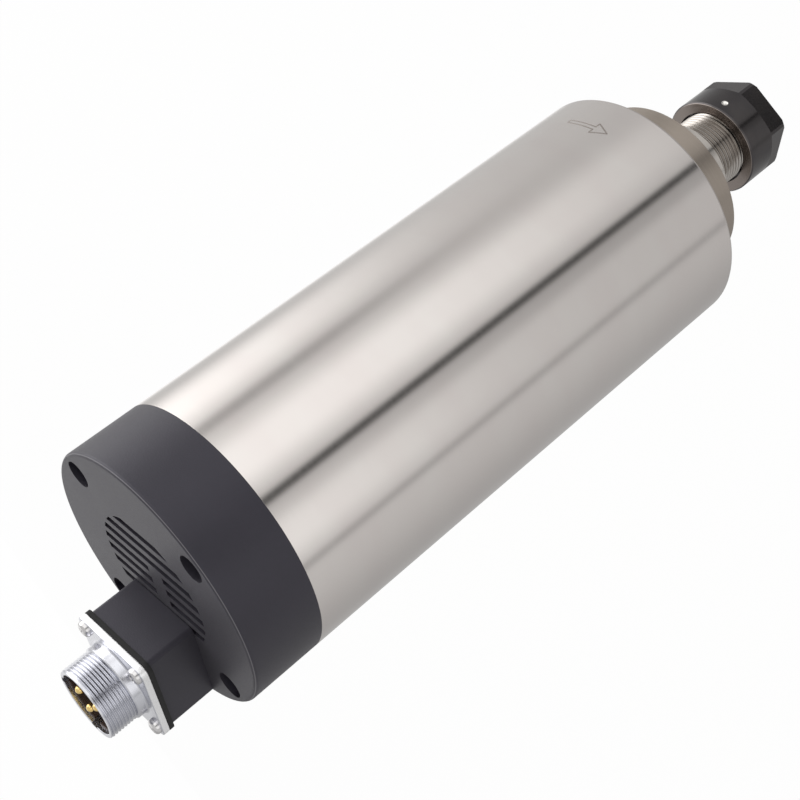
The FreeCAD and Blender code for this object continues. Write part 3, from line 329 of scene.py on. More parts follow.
# Connector
# Zinc casting with bright nickel: a square flange with rounded corners, a smooth collar, and a shell with
# the thread for the plug's ring and two keyways in its bore. It is one piece, screwed to the box.
PLUG = (0.0, 23.4)                  # the connector's axis
PLUG_AXIS = Vector((*PLUG, 0))
SHELL_CREST = 11.0
SHELL_ROOT = 10.4
SHELL_PITCH = 1.0
SHELL_THREAD = (216.15, 224.05)
SHELL_THREAD_STEPS = 72
SHELL_BORE = 9.6
SHELL_STEPS = 96
FLANGE_LOW = 210.9
FLANGE_HIGH = 213.0
FLANGE_HALF = 14.4                  # half the flange's side
FLANGE_ROUND = 2.4
FLANGE_ROUND_STEPS = 6
FLANGE_EDGE = 0.3
FLANGE_EDGE_LEAST = 40.0            # edges that turn by fewer degrees stay as they are
FLANGE_EDGE_OUTSIDE = 14.0          # only edges further than this from the connector's axis are rounded
SHEARED_EDGE = (0.35, 0.15)         # below the flange's top, where its bright side ends
RIM_PROFILE = [(10.85, 224.3), (10.7, 224.6), (9.75, 224.6), (SHELL_BORE, 224.45), (SHELL_BORE, FLANGE_LOW)]
COLLAR_PROFILE = [(11.0, 216.05), (11.25, 215.85), (11.4, 215.6), (11.4, 213.75), (11.5, 213.35),
                  (11.75, 213.1), (12.2, FLANGE_HIGH)]
KEYWAYS = (347.0, 88.0)
KEYWAY_HALF = 6.5                   # half the width of a keyway, in degrees
KEYWAY_SLOPE = 0.5                  # degrees over which each of its sides drops
KEYWAY_NEIGHBOURHOOD = 20.0         # degrees either way in which the wall is cut for it
KEYWAY_RADIUS = 10.4
KEYWAY_FLOOR = 220.2
KEYWAY_STEP = 0.05                  # height over which its lower end slopes
RIM_MIDDLE = 9.9                    # between the rim's inner and outer corners
NICKEL_DULL = (0.60, 0.61, 0.66, 1)
NICKEL_CLEAN = (0.72, 0.725, 0.77, 1)
NICKEL_SHEARED = (0.93, 0.93, 0.94, 1)
CUT_MERGE = 1e-5
SLACK = 0.01                        # how far a corner may stand off the wall that it is on


def with_parts(faces):
    """Faces with their edges and corners, each once and always in the same order."""
    return list(dict.fromkeys(part for face in faces for part in (face, *face.edges, *face.verts)))


def threaded(mesh, crest, root, pitch, ends, steps, centre=(0.0, 0.0)):
    """A screw thread between two heights. Gives back the edges of its lower and upper ends."""
    flat = pitch / 8
    flank = (pitch - 2 * flat) / 2
    outline = [(root, 0.0), (root, flat), (crest, flat + flank), (crest, pitch - flank), (root, pitch)]
    start = ends[0] - 1.5 * pitch
    turns = math.ceil((ends[1] - start) / pitch) + 1
    corners = [mesh.verts.new((centre[0] + radius, centre[1], start + rise)) for radius, rise in outline]
    edges = [mesh.edges.new(pair) for pair in zip(corners, corners[1:])]
    old = set(mesh.faces)
    bmesh.ops.spin(mesh, geom=corners + edges, cent=(*centre, 0), axis=(0, 0, 1), angle=math.tau * turns,
                   dvec=(0, 0, pitch / steps), steps=steps * turns)
    made = with_parts(face for face in mesh.faces if face not in old)
    bmesh.ops.remove_doubles(mesh, verts=[part for part in made if isinstance(part, bmesh.types.BMVert)],
                             dist=10 * MERGE)
    loops = []
    for level, side in zip(ends, ("clear_inner", "clear_outer")):
        geom = with_parts(face for face in mesh.faces if face not in old)
        cut = bmesh.ops.bisect_plane(mesh, geom=geom, plane_co=(0, 0, level), plane_no=(0, 0, 1),
                                     dist=CUT_MERGE, **{side: True})
        loops.append([part for part in cut["geom_cut"] if isinstance(part, bmesh.types.BMEdge)])
    return loops


def open_turned(mesh, profile, steps, centre=(0.0, 0.0)):
    """Turn an open outline about an upright axis. Gives back the edges of its first and last rings."""
    corners = [mesh.verts.new((centre[0] + radius, centre[1], level)) for radius, level in profile]
    edges = [mesh.edges.new(pair) for pair in zip(corners, corners[1:])]
    old = set(mesh.verts) - set(corners)
    bmesh.ops.spin(mesh, geom=corners + edges, cent=(*centre, 0), axis=(0, 0, 1), angle=math.tau,
                   steps=steps, use_merge=True)
    rims = []
    for radius, level in (profile[0], profile[-1]):
        ring = {vert for vert in mesh.verts if vert not in old and abs(vert.co.z - level) < MERGE
                and abs(math.hypot(vert.co.x - centre[0], vert.co.y - centre[1]) - radius) < 10 * MERGE}
        rims.append([edge for edge in mesh.edges if edge.verts[0] in ring and edge.verts[1] in ring])
    return rims


def lag(spot, direction):
    """Degrees from a direction to a spot beside the axis, from -180 to 180."""
    return (math.degrees(math.atan2(spot.y, spot.x)) - direction + 180) % 360 - 180


nickel = Finish("nickel", {"Metallic": 1.0})
cast = nickel.grain((0.9, 0.9, 0.9), detail=3.0, roughness=0.55)
dulled = nickel.grain((6.0, 6.0, 6.0), detail=2.0)
edge_low, edge_high = (FLANGE_HIGH - below for below in SHEARED_EDGE)
sheared = nickel.fade(nickel.along("Z"), edge_low, edge_high, 1.0, 0.0)
nickel_colour = nickel.blend(dulled, NICKEL_DULL, NICKEL_CLEAN)
nickel.surface({"Base Color": nickel.blend(sheared, nickel_colour, NICKEL_SHEARED),
                "Roughness": 0.15 + cast * 0.12 + sheared * 0.25,
                "Normal": nickel.relief(cast, depth=0.015, strength=0.2)})
shell = bmesh.new()
thread_low, thread_high = threaded(shell, SHELL_CREST, SHELL_ROOT, SHELL_PITCH, SHELL_THREAD,
                                   SHELL_THREAD_STEPS, PLUG)
rim_first, rim_last = open_turned(shell, RIM_PROFILE, SHELL_STEPS, PLUG)
collar_first, collar_last = open_turned(shell, COLLAR_PROFILE, SHELL_STEPS, PLUG)
bmesh.ops.bridge_loops(shell, edges=thread_high + rim_first)
bmesh.ops.bridge_loops(shell, edges=thread_low + collar_first)
flange_loops = []
for level in (FLANGE_LOW, FLANGE_HIGH):
    outline = []
    for quarter in range(4):
        corner = Vector((FLANGE_HALF - FLANGE_ROUND, FLANGE_HALF - FLANGE_ROUND))
        for step in range(FLANGE_ROUND_STEPS + 1):
            lean = math.radians(90.0 * step / FLANGE_ROUND_STEPS)
            place = corner + FLANGE_ROUND * Vector((math.cos(lean), math.sin(lean)))
            place.rotate(Euler((0, 0, math.radians(90 * quarter))).to_matrix().to_2x2())
            outline.append(place + Vector(PLUG))
    loop = [shell.verts.new((*place, level)) for place in outline]
    flange_loops.append([shell.edges.new(pair) for pair in zip(loop, loop[1:] + loop[:1])])
bmesh.ops.bridge_loops(shell, edges=flange_loops[0] + flange_loops[1])
bmesh.ops.bridge_loops(shell, edges=flange_loops[1] + collar_last)
bmesh.ops.bridge_loops(shell, edges=flange_loops[0] + rim_last)
# Each keyway is cut into the bore's wall and rim as four upright lines, and its floor as two level ones.
# What lies between them then moves outwards.
for middle in KEYWAYS:
    for side in (-KEYWAY_HALF - KEYWAY_SLOPE, -KEYWAY_HALF, KEYWAY_HALF, KEYWAY_HALF + KEYWAY_SLOPE):
        turn = math.radians(middle + side)
        wall = []
        for face in shell.faces:
            spot = face.calc_center_median() - PLUG_AXIS
            near = abs(lag(spot, middle)) < KEYWAY_NEIGHBOURHOOD
            if near and math.hypot(spot.x, spot.y) < SHELL_ROOT and spot.z > FLANGE_HIGH:
                wall.append(face)
        bmesh.ops.bisect_plane(shell, geom=with_parts(wall), plane_co=PLUG_AXIS, dist=CUT_MERGE,
                               plane_no=(-math.sin(turn), math.cos(turn), 0))
inner = [face for face in shell.faces
         if math.hypot(*(face.calc_center_median() - PLUG_AXIS).xy) < SHELL_BORE + SLACK]
for level in (KEYWAY_FLOOR, KEYWAY_FLOOR + KEYWAY_STEP):
    cut = bmesh.ops.bisect_plane(shell, geom=with_parts(inner), plane_co=(0, 0, level), plane_no=(0, 0, 1),
                                 dist=CUT_MERGE)
    inner = [part for part in cut["geom"] if isinstance(part, bmesh.types.BMFace)]
for vert in shell.verts:
    spot = vert.co - PLUG_AXIS
    out = math.hypot(spot.x, spot.y)
    off = min(abs(lag(spot, middle)) for middle in KEYWAYS)
    if out < RIM_MIDDLE and off < KEYWAY_HALF + KEYWAY_SLOPE / 5 and spot.z > KEYWAY_FLOOR + KEYWAY_STEP / 2:
        vert.co.xy = Vector(PLUG) + spot.xy * (KEYWAY_RADIUS / out)
bmesh.ops.remove_doubles(shell, verts=shell.verts, dist=MERGE)
bmesh.ops.recalc_face_normals(shell, faces=shell.faces)
round_edges(shell, FLANGE_EDGE, FLANGE_EDGE_LEAST,
            lambda edge: min(math.dist(vert.co.xy, PLUG) for vert in edge.verts) > FLANGE_EDGE_OUTSIDE)
piece("plug_shell", shell, nickel, "housing", "die_cast_nickel", "connector_shell")


# Connector's insulator and contacts
# Brown-black moulded disc pressed into the shell, with a thin skirt that lines the shell's wall between
# the keyways. Three round contacts of gold-plated brass stand in it.
SKIRT = [(8.85, 215.9), (9.55, 215.9), (9.55, 223.3), (9.4, 223.5), (9.0, 223.5), (8.85, 223.3)]
SKIRT_GAP = 8.0                     # degrees from the middle of a keyway to the skirt
SKIRT_STEPS = 48
TIP_LOW = 222.0                     # the contacts' rounded tips lie above this height
TIP_RAISE = 0.7
INSULATOR_DARK = (0.030, 0.017, 0.012, 1)
INSULATOR_LIGHT = (0.055, 0.030, 0.022, 1)
GOLD_DEEP = (0.86, 0.60, 0.20, 1)
GOLD_PALE = (0.95, 0.74, 0.34, 1)


def dress(finish, *nodes):
    """Give CAD nodes their finish."""
    for node in nodes:
        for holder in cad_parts[node].material_slots:
            holder.material = finish.material


insulator = Finish("insulator", {"Metallic": 0.0})
flow = insulator.grain((2.0, 2.0, 2.0), detail=3.0)
insulator.surface({"Base Color": insulator.blend(flow, INSULATOR_DARK, INSULATOR_LIGHT),
                   "Roughness": 0.38 + flow * 0.15,
                   "Normal": insulator.relief(flow, depth=0.03, strength=0.3)})
dress(insulator, "connector_insert")
skirt = bmesh.new()
for start, end in ((KEYWAYS[0] - 360, KEYWAYS[1]), KEYWAYS[::-1]):
    first = math.radians(start + SKIRT_GAP)
    swing = math.radians(end - start - 2 * SKIRT_GAP)
    places = [(PLUG[0] + radius * math.cos(first), PLUG[1] + radius * math.sin(first), level)
              for radius, level in SKIRT]
    end_face = skirt.faces.new([skirt.verts.new(place) for place in places])
    bmesh.ops.spin(skirt, geom=[end_face], cent=(*PLUG, 0), axis=(0, 0, 1), angle=swing, steps=SKIRT_STEPS)
bmesh.ops.recalc_face_normals(skirt, faces=skirt.faces)
piece("insulator_skirt", skirt, insulator, "housing", "insert_plastic")
gold = Finish("gold", {"Metallic": 1.0})
wiped = gold.grain((0.5, 0.5, 3.0), detail=2.0)
gold.surface({"Base Color": gold.blend(wiped, GOLD_DEEP, GOLD_PALE),
              "Roughness": 0.16 + wiped * 0.14,
              "Normal": gold.relief(wiped, depth=0.01, strength=0.3)})
contacts = copied("contact_pins")
tips = [vert for vert in contacts.verts if vert.co.z > TIP_LOW]
bmesh.ops.translate(contacts, vec=(0, 0, TIP_RAISE), verts=tips)
piece("plug_contacts", contacts, gold, "housing", "gold_contact", "contact_pins")


# Flange screws
# Four pan-headed machine screws of nickel-plated steel with a cross recess. They hold the connector's
# flange and the gasket on the box, and each stopped at its own turn.
SCREW_SPACING = 11.3
SCREW_TURNS = ((-1, -1, 20.0), (1, -1, 63.0), (1, 1, 5.0), (-1, 1, 41.0))
SCREW_STEPS = 32
HEAD_PROFILE = [(2.40, 0.0), (2.40, 0.45), (2.28, 0.85), (1.95, 1.22), (1.45, 1.42)]
HEAD_HEIGHT = 1.47
CROSS_ARM = 1.15
CROSS_HALF = 0.30
CROSS_DEPTH = 0.9
CROSS_FLOOR = 0.55                  # size of the recess at its floor, as a share of its mouth
SHANK_RADIUS = 1.25
SHANK_LENGTH = 9.0
PLATING_DULL = (0.60, 0.59, 0.60, 1)
PLATING_CLEAN = (0.76, 0.75, 0.75, 1)
plated_screw = Finish("plated_screw", {"Metallic": 1.0})
plating = plated_screw.grain((0.6, 0.6, 0.6), detail=3.0)
plated_screw.surface({"Base Color": plated_screw.blend(plating, PLATING_DULL, PLATING_CLEAN),
                      "Roughness": 0.10 + plating * 0.12,
                      "Normal": plated_screw.relief(plating, depth=0.01, strength=0.3)})
screws = bmesh.new()
for side_x, side_y, turn in SCREW_TURNS:
    place = (side_x * SCREW_SPACING, PLUG[1] + side_y * SCREW_SPACING)
    head = [(radius, FLANGE_HIGH + rise) for radius, rise in HEAD_PROFILE]
    shank = [(SHANK_RADIUS, FLANGE_HIGH - SHANK_LENGTH), (SHANK_RADIUS, FLANGE_HIGH)]
    tip_rim, head_rim = open_turned(screws, shank + head, SCREW_STEPS, place)
    bmesh.ops.contextual_create(screws, geom=tip_rim)
    outline = []
    for quarter in range(4):
        lean = math.radians(turn + 90 * quarter)
        for out, side in ((CROSS_HALF, -CROSS_HALF), (CROSS_ARM, -CROSS_HALF), (CROSS_ARM, CROSS_HALF)):
            outline.append((place[0] + out * math.cos(lean) - side * math.sin(lean),
                            place[1] + out * math.sin(lean) + side * math.cos(lean)))
    corners = [screws.verts.new((*spot, FLANGE_HIGH + HEAD_HEIGHT)) for spot in outline]
    cross = [screws.edges.new(pair) for pair in zip(corners, corners[1:] + corners[:1])]
    bmesh.ops.bridge_loops(screws, edges=head_rim + cross)
    sunk = bmesh.ops.extrude_edge_only(screws, edges=cross)["geom"]
    floor = [part for part in sunk if isinstance(part, bmesh.types.BMVert)]
    for vert in floor:
        vert.co.xy = Vector(place) + (vert.co.xy - Vector(place)) * CROSS_FLOOR
        vert.co.z -= CROSS_DEPTH
    bmesh.ops.contextual_create(screws, geom=[part for part in sunk if isinstance(part, bmesh.types.BMEdge)
                                              and all(vert in floor for vert in part.verts)])
bmesh.ops.recalc_face_normals(screws, faces=screws.faces)
piece("flange_screws", screws, plated_screw, "housing", "die_cast_nickel", "connector_screws")


# Cap screws, front flange screws and fan circlip
# Black-oxided steel. Four socket head screws sit deep in the cap's holes and four in the front flange,
# and the circlip holds the fan on the shaft's tail.
OXIDE_DARK = (0.050, 0.046, 0.042, 1)
OXIDE_LIGHT = (0.085, 0.078, 0.070, 1)
black_steel = Finish("black_steel", {"Metallic": 1.0})
oxide = black_steel.grain((1.2, 1.2, 1.2), detail=4.0, roughness=0.6)
oiled = black_steel.grain((9.0, 9.0, 9.0), detail=2.0)
black_steel.surface({"Base Color": black_steel.blend(oxide, OXIDE_DARK, OXIDE_LIGHT),
                     "Roughness": 0.30 + oxide * 0.12 + oiled * 0.06,
                     "Normal": black_steel.relief(oxide, depth=0.012, strength=0.3)})
dress(black_steel, "cap_screws", "front_flange_screws", "fan_circlip")


# Bearing housing, front flange and bearing retainer
# Turned aluminium with a warm grey anodised skin. The boss stands out of the tube, and the threaded
# retainer in its face clamps the front bearings.
ANODISED_DARK = (0.33, 0.285, 0.245, 1)
ANODISED_LIGHT = (0.42, 0.37, 0.325, 1)
anodised = Finish("anodised", {"Metallic": 1.0, "Anisotropic": 0.6, "Anisotropic Rotation": 0.25})
turning = anodised.grain((12.0, 12.0, 0.3), detail=3.0, roughness=0.6)
anodised.surface({"Base Color": anodised.blend(turning, ANODISED_DARK, ANODISED_LIGHT),
                  "Roughness": 0.30 + turning * 0.10,
                  "Normal": anodised.relief(turning, depth=0.012, strength=0.3)})
dress(anodised, "bearing_housing", "front_flange", "front_retainer")


# Shaft and its nose thread, dust ring and lock nut
# Hardened steel shaft, ground on its collar and seats, with the ring and the nut of the same steel. The
# nose carries a right-hand thread of 25 mm with a pitch of 1.5 mm for the collet's nut.
NOSE_CREST = 12.5
NOSE_ROOT = 11.58
NOSE_PITCH = 1.5
NOSE_HIGH = -31.0
NOSE_LOW = -50.9
NOSE_MIDDLE = -40.0
NOSE_STEPS = 96
NOSE_END = 0.02                     # between the thread's ends and the plain wall
CREST_CLEARANCE = 0.01
CREST_BAND = 0.1
STEP_RADIUS = 13.0                  # the face behind the thread lies within this
ROOT_SHADE_SHARE = 0.85
ROOT_SHADE_BACK = (-29.7, -29.4)        # the painted shade in the thread's roots ends between these heights
SHAFT_DULL = (0.50, 0.465, 0.43, 1)
SHAFT_CLEAN = (0.64, 0.61, 0.58, 1)
SHAFT_ROOT_SHADE = (0.10, 0.085, 0.075, 1)
ground_shaft = Finish("ground_shaft", {"Metallic": 1.0, "Anisotropic": 0.5, "Anisotropic Rotation": 0.25})
scratches = ground_shaft.grain((7.0, 7.0, 0.22), detail=4.0, roughness=0.6)
film = ground_shaft.grain((5.0, 5.0, 5.0), detail=2.0)
x, y, height = (ground_shaft.along(axis) for axis in "XYZ")
reach = (x * x + y * y) ** 0.5
# Painted shade: the thread's roots and the relief below the shoulder are darkened.
root_shade = ground_shaft.fade(reach, NOSE_ROOT, NOSE_CREST - CREST_BAND, ROOT_SHADE_SHARE, 0.0)
root_shade = root_shade * ground_shaft.fade(height, *ROOT_SHADE_BACK, 1.0, 0.0)
shaft_colour = ground_shaft.blend(film, SHAFT_DULL, SHAFT_CLEAN)
ground_shaft.surface({"Base Color": ground_shaft.blend(root_shade, shaft_colour, SHAFT_ROOT_SHADE),
                      "Roughness": 0.15 + scratches * 0.10,
                      "Normal": ground_shaft.relief(scratches, depth=0.008, strength=0.3)})
shaft = bmesh.new()
shaft.from_mesh(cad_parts["spindle_shaft"].data)
bmesh.ops.scale(shaft, vec=(METRE, METRE, METRE), verts=shaft.verts)
bmesh.ops.remove_doubles(shaft, verts=shaft.verts, dist=MERGE)
# The plain wall and the face behind it make room for the thread, which is bridged to what is left.
plain_wall = []
for face in shaft.faces:
    radii = [math.hypot(vert.co.x, vert.co.y) for vert in face.verts]
    levels = [vert.co.z for vert in face.verts]
    low = min(levels) + SLACK
    high = max(levels) - SLACK
    on_crest = min(radii) > NOSE_CREST - CREST_BAND and low > NOSE_LOW and high < NOSE_HIGH
    on_step = max(radii) < STEP_RADIUS and low > NOSE_HIGH and high < NOSE_HIGH
    if on_crest or on_step:
        plain_wall.append(face)
bmesh.ops.delete(shaft, geom=plain_wall, context="FACES")
bmesh.ops.dissolve_limit(shaft, angle_limit=FLAT_ENOUGH, verts=shaft.verts, edges=shaft.edges)
gaps = [edge for edge in shaft.edges if edge.is_boundary]
upper_gap = [edge for edge in gaps if edge.verts[0].co.z > NOSE_MIDDLE]
lower_gap = [edge for edge in gaps if edge.verts[0].co.z < NOSE_MIDDLE]
nose_thread = (NOSE_LOW + NOSE_END, NOSE_HIGH - NOSE_END)
lower_end, upper_end = threaded(shaft, NOSE_CREST - CREST_CLEARANCE, NOSE_ROOT, NOSE_PITCH, nose_thread,
                                NOSE_STEPS)
bmesh.ops.bridge_loops(shaft, edges=upper_gap + upper_end)
bmesh.ops.bridge_loops(shaft, edges=lower_gap + lower_end)
piece("shaft_with_thread", shaft, ground_shaft, "rotor", "shaft_steel", "spindle_shaft")
dress(ground_shaft, "dust_ring", "bearing_lock_nut")


# Collet nut and its ring
# Black-oxided steel nut with six spanner flats, and a small bright pit where it was balanced. The rear
# rim is worn bare and brownish. The ring inside the nut sits in the collet's groove.
NUT_EDGE = 0.3
NUT_CREASE = 12.0
PIT = (-2.484, -16.817, -46.6)
PIT_EDGE = (0.95, 1.25)             # from the pit's middle to where the bright metal ends
WORN_FROM = (-42.8, -42.65)         # heights at the nut's rear rim
WORN_SHARE = 0.8
NUT_BLACK = (0.060, 0.057, 0.062, 1)
NUT_BROWN = (0.100, 0.092, 0.090, 1)
NUT_WORN = (0.27, 0.235, 0.215, 1)
NUT_BRIGHT = (0.78, 0.76, 0.73, 1)
nut_oxide = Finish("nut_oxide", {"Metallic": 1.0, "Anisotropic": 0.4, "Anisotropic Rotation": 0.25})
mottle = nut_oxide.grain((0.8, 0.8, 0.8), detail=4.0, roughness=0.6)
brown = nut_oxide.grain((7.0, 7.0, 7.0), detail=2.0)
pit_place = tuple(value / METRE for value in PIT)
to_pit = nut_oxide.node("ShaderNodeVectorMath", {"operation": "DISTANCE"},
                        {0: nut_oxide.place, 1: pit_place}, "Value") * METRE
bright = nut_oxide.fade(to_pit, *PIT_EDGE, 1.0, 0.0)
worn = nut_oxide.fade(nut_oxide.along("Z"), *WORN_FROM, 0.0, WORN_SHARE)
nut_colour = nut_oxide.blend(brown, NUT_BLACK, NUT_BROWN)
nut_colour = nut_oxide.blend(worn, nut_colour, NUT_WORN)
nut_oxide.surface({"Base Color": nut_oxide.blend(bright, nut_colour, NUT_BRIGHT),
                   "Roughness": 0.15 + mottle * 0.12,
                   "Normal": nut_oxide.relief(mottle, depth=0.012, strength=0.25)})
nut_mesh = round_edges(copied("collet_nut"), NUT_EDGE)
piece("nose_nut", nut_mesh, nut_oxide, "nut", "black_steel", "collet_nut", crease=NUT_CREASE)
dress(nut_oxide, "extractor_ring")


# Collet
# Spring steel, hardened and ground bright, sawn from both ends so that it closes on the tool's shank
# when the nut presses it into the shaft's taper.
COLLET_GREY = (0.62, 0.61, 0.59, 1)
COLLET_BRIGHT = (0.72, 0.71, 0.69, 1)
bright_steel = Finish("bright_steel", {"Metallic": 1.0})
ground = bright_steel.grain((3.0, 3.0, 0.2), detail=3.0)
bright_steel.surface({"Base Color": bright_steel.blend(ground, COLLET_GREY, COLLET_BRIGHT),
                      "Roughness": 0.20 + ground * 0.10,
                      "Normal": bright_steel.relief(ground, depth=0.006, strength=0.3)})
dress(bright_steel, "collet")


# Bearings, their distance rings and the spring washer
# Polished bearing steel. The pair at the nose has a distance ring between each kind of ring, and the
# washer presses the rear bearing forwards.
RACE_GREY = (0.60, 0.60, 0.61, 1)
RACE_BRIGHT = (0.68, 0.68, 0.69, 1)
race_steel = Finish("race_steel", {"Metallic": 1.0})
polish = race_steel.grain((4.0, 4.0, 0.3), detail=2.0)
race_steel.surface({"Base Color": race_steel.blend(polish, RACE_GREY, RACE_BRIGHT),
                    "Roughness": 0.14 + polish * 0.10})
dress(race_steel, "front_outer_rings", "front_inner_rings", "rear_outer_ring", "rear_inner_ring",
      "inner_spacer", "outer_spacer", "disc_spring", "fan_spacer")


# Finned sleeve, rear bell and rotor end rings
# Aluminium: the sleeve is extruded and pressed on the stator, the bell is turned and carries the rear
# bearing, and the rings are cast on the rotor's core.
ALUMINIUM_GREY = (0.66, 0.66, 0.66, 1)
ALUMINIUM_BRIGHT = (0.76, 0.76, 0.75, 1)
aluminium = Finish("aluminium", {"Metallic": 1.0})
drawn = aluminium.grain((0.6, 0.6, 20.0), detail=3.0)
aluminium.surface({"Base Color": aluminium.blend(drawn, ALUMINIUM_GREY, ALUMINIUM_BRIGHT),
                   "Roughness": 0.32 + drawn * 0.14,
                   "Normal": aluminium.relief(drawn, depth=0.02, strength=0.3)})
dress(aluminium, "finned_sleeve", "rear_bell", "rotor_end_rings")


# Stator and rotor cores
# Stacks of punched electrical steel, half a millimetre thick each, lacquered grey. One is pressed into
# the sleeve and the other on the shaft.
SHEET_THICKNESS = 0.5
SHEET_DARK = (0.16, 0.16, 0.17, 1)
SHEET_LIGHT = (0.28, 0.28, 0.29, 1)
laminations = Finish("laminations", {"Metallic": 0.6})
sheets = laminations.along("Z") / SHEET_THICKNESS
layer = abs(sheets.worked("FRACT", sheets) - 0.5) * 2.0
laminations.surface({"Base Color": laminations.blend(layer, SHEET_DARK, SHEET_LIGHT),
                     "Roughness": 0.42 + layer * 0.15,
                     "Normal": laminations.relief(layer, depth=0.05, strength=0.5)})
dress(laminations, "stator_core", "rotor_core")


# Stator windings
# Enamelled copper wire in the slots, with heads that are laced and dipped in clear lacquer.
COPPER_DEEP = (0.50, 0.19, 0.08, 1)
COPPER_PALE = (0.78, 0.38, 0.20, 1)
copper = Finish("copper", {"Metallic": 1.0, "Coat Roughness": 0.2})
strands = copper.grain((0.7, 0.7, 0.7), detail=4.0, roughness=0.7)
copper.surface({"Base Color": copper.blend(strands, COPPER_DEEP, COPPER_PALE),
                "Roughness": 0.26 + strands * 0.15,
                "Coat Weight": 0.4 + strands * 0.2,
                "Normal": copper.relief(strands, depth=0.25, strength=0.6)})
dress(copper, "stator_windings")


# Phase leads
# Three stranded leads with soft red insulation, soldered to the windings and to the contacts.
JACKET_DEEP = (0.36, 0.035, 0.022, 1)
JACKET_PALE = (0.46, 0.06, 0.035, 1)
lead_jacket = Finish("lead_jacket", {"Metallic": 0.0})
skin = lead_jacket.grain((0.8, 0.8, 0.8), detail=2.0)
lead_jacket.surface({"Base Color": lead_jacket.blend(skin, JACKET_DEEP, JACKET_PALE),
                     "Roughness": 0.42 + skin * 0.12,
                     "Normal": lead_jacket.relief(skin, depth=0.02, strength=0.3)})
dress(lead_jacket, "phase_leads")


# Fan
# Moulded in black nylon, with a slight sheen on its blades, and pushed on the shaft's tail.
NYLON_DARK = (0.014, 0.014, 0.015, 1)
NYLON_LIGHT = (0.026, 0.026, 0.027, 1)
fan_nylon = Finish("fan_nylon", {"Metallic": 0.0})
mould = fan_nylon.grain((1.5, 1.5, 1.5), detail=3.0)
fan_nylon.surface({"Base Color": fan_nylon.blend(mould, NYLON_DARK, NYLON_LIGHT),
                   "Roughness": 0.34 + mould * 0.15,
                   "Normal": fan_nylon.relief(mould, depth=0.03, strength=0.3)})
dress(fan_nylon, "cooling_fan")


# Floor
# Pale studio floor below the nose, in metres. The camera sees it nearly white, with the spindle's soft
# shadow on it. The metal doesn't show it, but the ground of the light tent below it.
FLOOR_HEIGHT = -0.16
FLOOR_HALF = 6.0
FLOOR_ROUGHNESS = 0.9
FLOOR_WHITE = 0.95                  # share of plain white in what the camera sees
FLOOR_COLOUR = (0.88, 0.88, 0.88, 1)
pale = bpy.data.materials.new("pale_floor")
pale.use_nodes = True
ground_shading = Shading(pale.node_tree)
paper_shader = pale.node_tree.nodes["Principled BSDF"]
ground_shading.give(paper_shader, {"Base Color": FLOOR_COLOUR, "Roughness": FLOOR_ROUGHNESS})
paper = Value(ground_shading, paper_shader.outputs[0])
seen = ground_shading.node("ShaderNodeLightPath", output="Is Camera Ray")
white = ground_shading.node("ShaderNodeEmission", {}, {"Color": (1, 1, 1, 1), "Strength": 1.0})
floor_look = ground_shading.node("ShaderNodeMixShader", {}, {0: seen * FLOOR_WHITE, 1: paper, 2: white})
ground_shading.give(pale.node_tree.nodes["Material Output"], {"Surface": floor_look})
floor_mesh = bmesh.new()
bmesh.ops.create_grid(floor_mesh, x_segments=2, y_segments=2, size=FLOOR_HALF)
bmesh.ops.translate(floor_mesh, vec=(0, 0, FLOOR_HEIGHT), verts=floor_mesh.verts)


def staged(name, mesh, material):
    """Make an object that belongs to the studio and not to the spindle."""
    data = bpy.data.meshes.new(name)
    mesh.to_mesh(data)
    mesh.free()
    data.materials.append(material)
    made = bpy.data.objects.new(name, data)
    bpy.context.scene.collection.objects.link(made)
    return made


studio_floor = staged("studio_floor", floor_mesh, pale)
studio_floor.visible_glossy = False


# Light tent
# A round tent of white cloth stands about the spindle, in metres. Lamps behind it make it brighter in
# some directions, and dark gaps are left in it, the narrowest for the camera; the metal shows all these.
TENT_RADIUS = 2.0
TENT_LOW = -2.6
TENT_HIGH = 2.2
TENT_SIDES = 96
TENT_COLOUR = (1.0, 0.995, 0.985)
WALL_LEVEL = 0.74
WALL_LOW_LEVEL = 0.88 * WALL_LEVEL
WALL_FADE = (-1.7, -0.5)            # heights over which the wall grows from its low level to its level
ROOF_LEVEL = 0.70
GROUND_LEVEL = 0.45
# Each lamp has its direction, half its width and its soft edge in degrees, its strength, and the
# heights between which it comes up.
LAMPS = ((195.0, 4.0, 26.0, 0.44, -1.1, -0.5), (262.0, 7.0, 28.0, 0.64, -2.0, -0.5),
         (335.0, 5.0, 31.0, 0.72, -1.2, -0.5), (42.0, 6.0, 15.0, 0.60, -9.0, -0.5),
         (325.0, 22.0, 25.0, 1.3, -0.5, -0.1))
# Each gap has its direction, half its width and its soft edge in degrees, and how dark it is above and
# below the heights of its fade.
GAPS = ((226.6, 1.2, 4.4, 0.93, 0.93), (219.0, 3.0, 12.0, 0.08, 0.27), (167.0, 0.5, 5.0, 0.36, 0.36),
        (301.0, 1.0, 8.0, 0.44, 0.0), (82.0, 6.0, 77.0, 0.36, 0.30))
GAP_FADE = (-1.2, -0.6)
SEAM = (0.01, 0.02)                 # from the roof or the ground, where the wall begins
cloth = bpy.data.materials.new("tent_cloth")
cloth.use_nodes = True
tent_shading = Shading(cloth.node_tree)
tent_place = tent_shading.node("ShaderNodeTexCoord", output="Object")
tent_x, tent_y, tent_z = (tent_shading.node("ShaderNodeSeparateXYZ", {}, {"Vector": tent_place}, axis)
                          for axis in "XYZ")
direction = tent_x.worked("ARCTAN2", tent_y, tent_x) * math.degrees(1.0)


def aside(middle):
    """How many degrees a place on the tent lies from a direction, either way."""
    turned_by = direction - middle
    return abs(turned_by.worked("WRAP", turned_by, 180.0, -180.0))


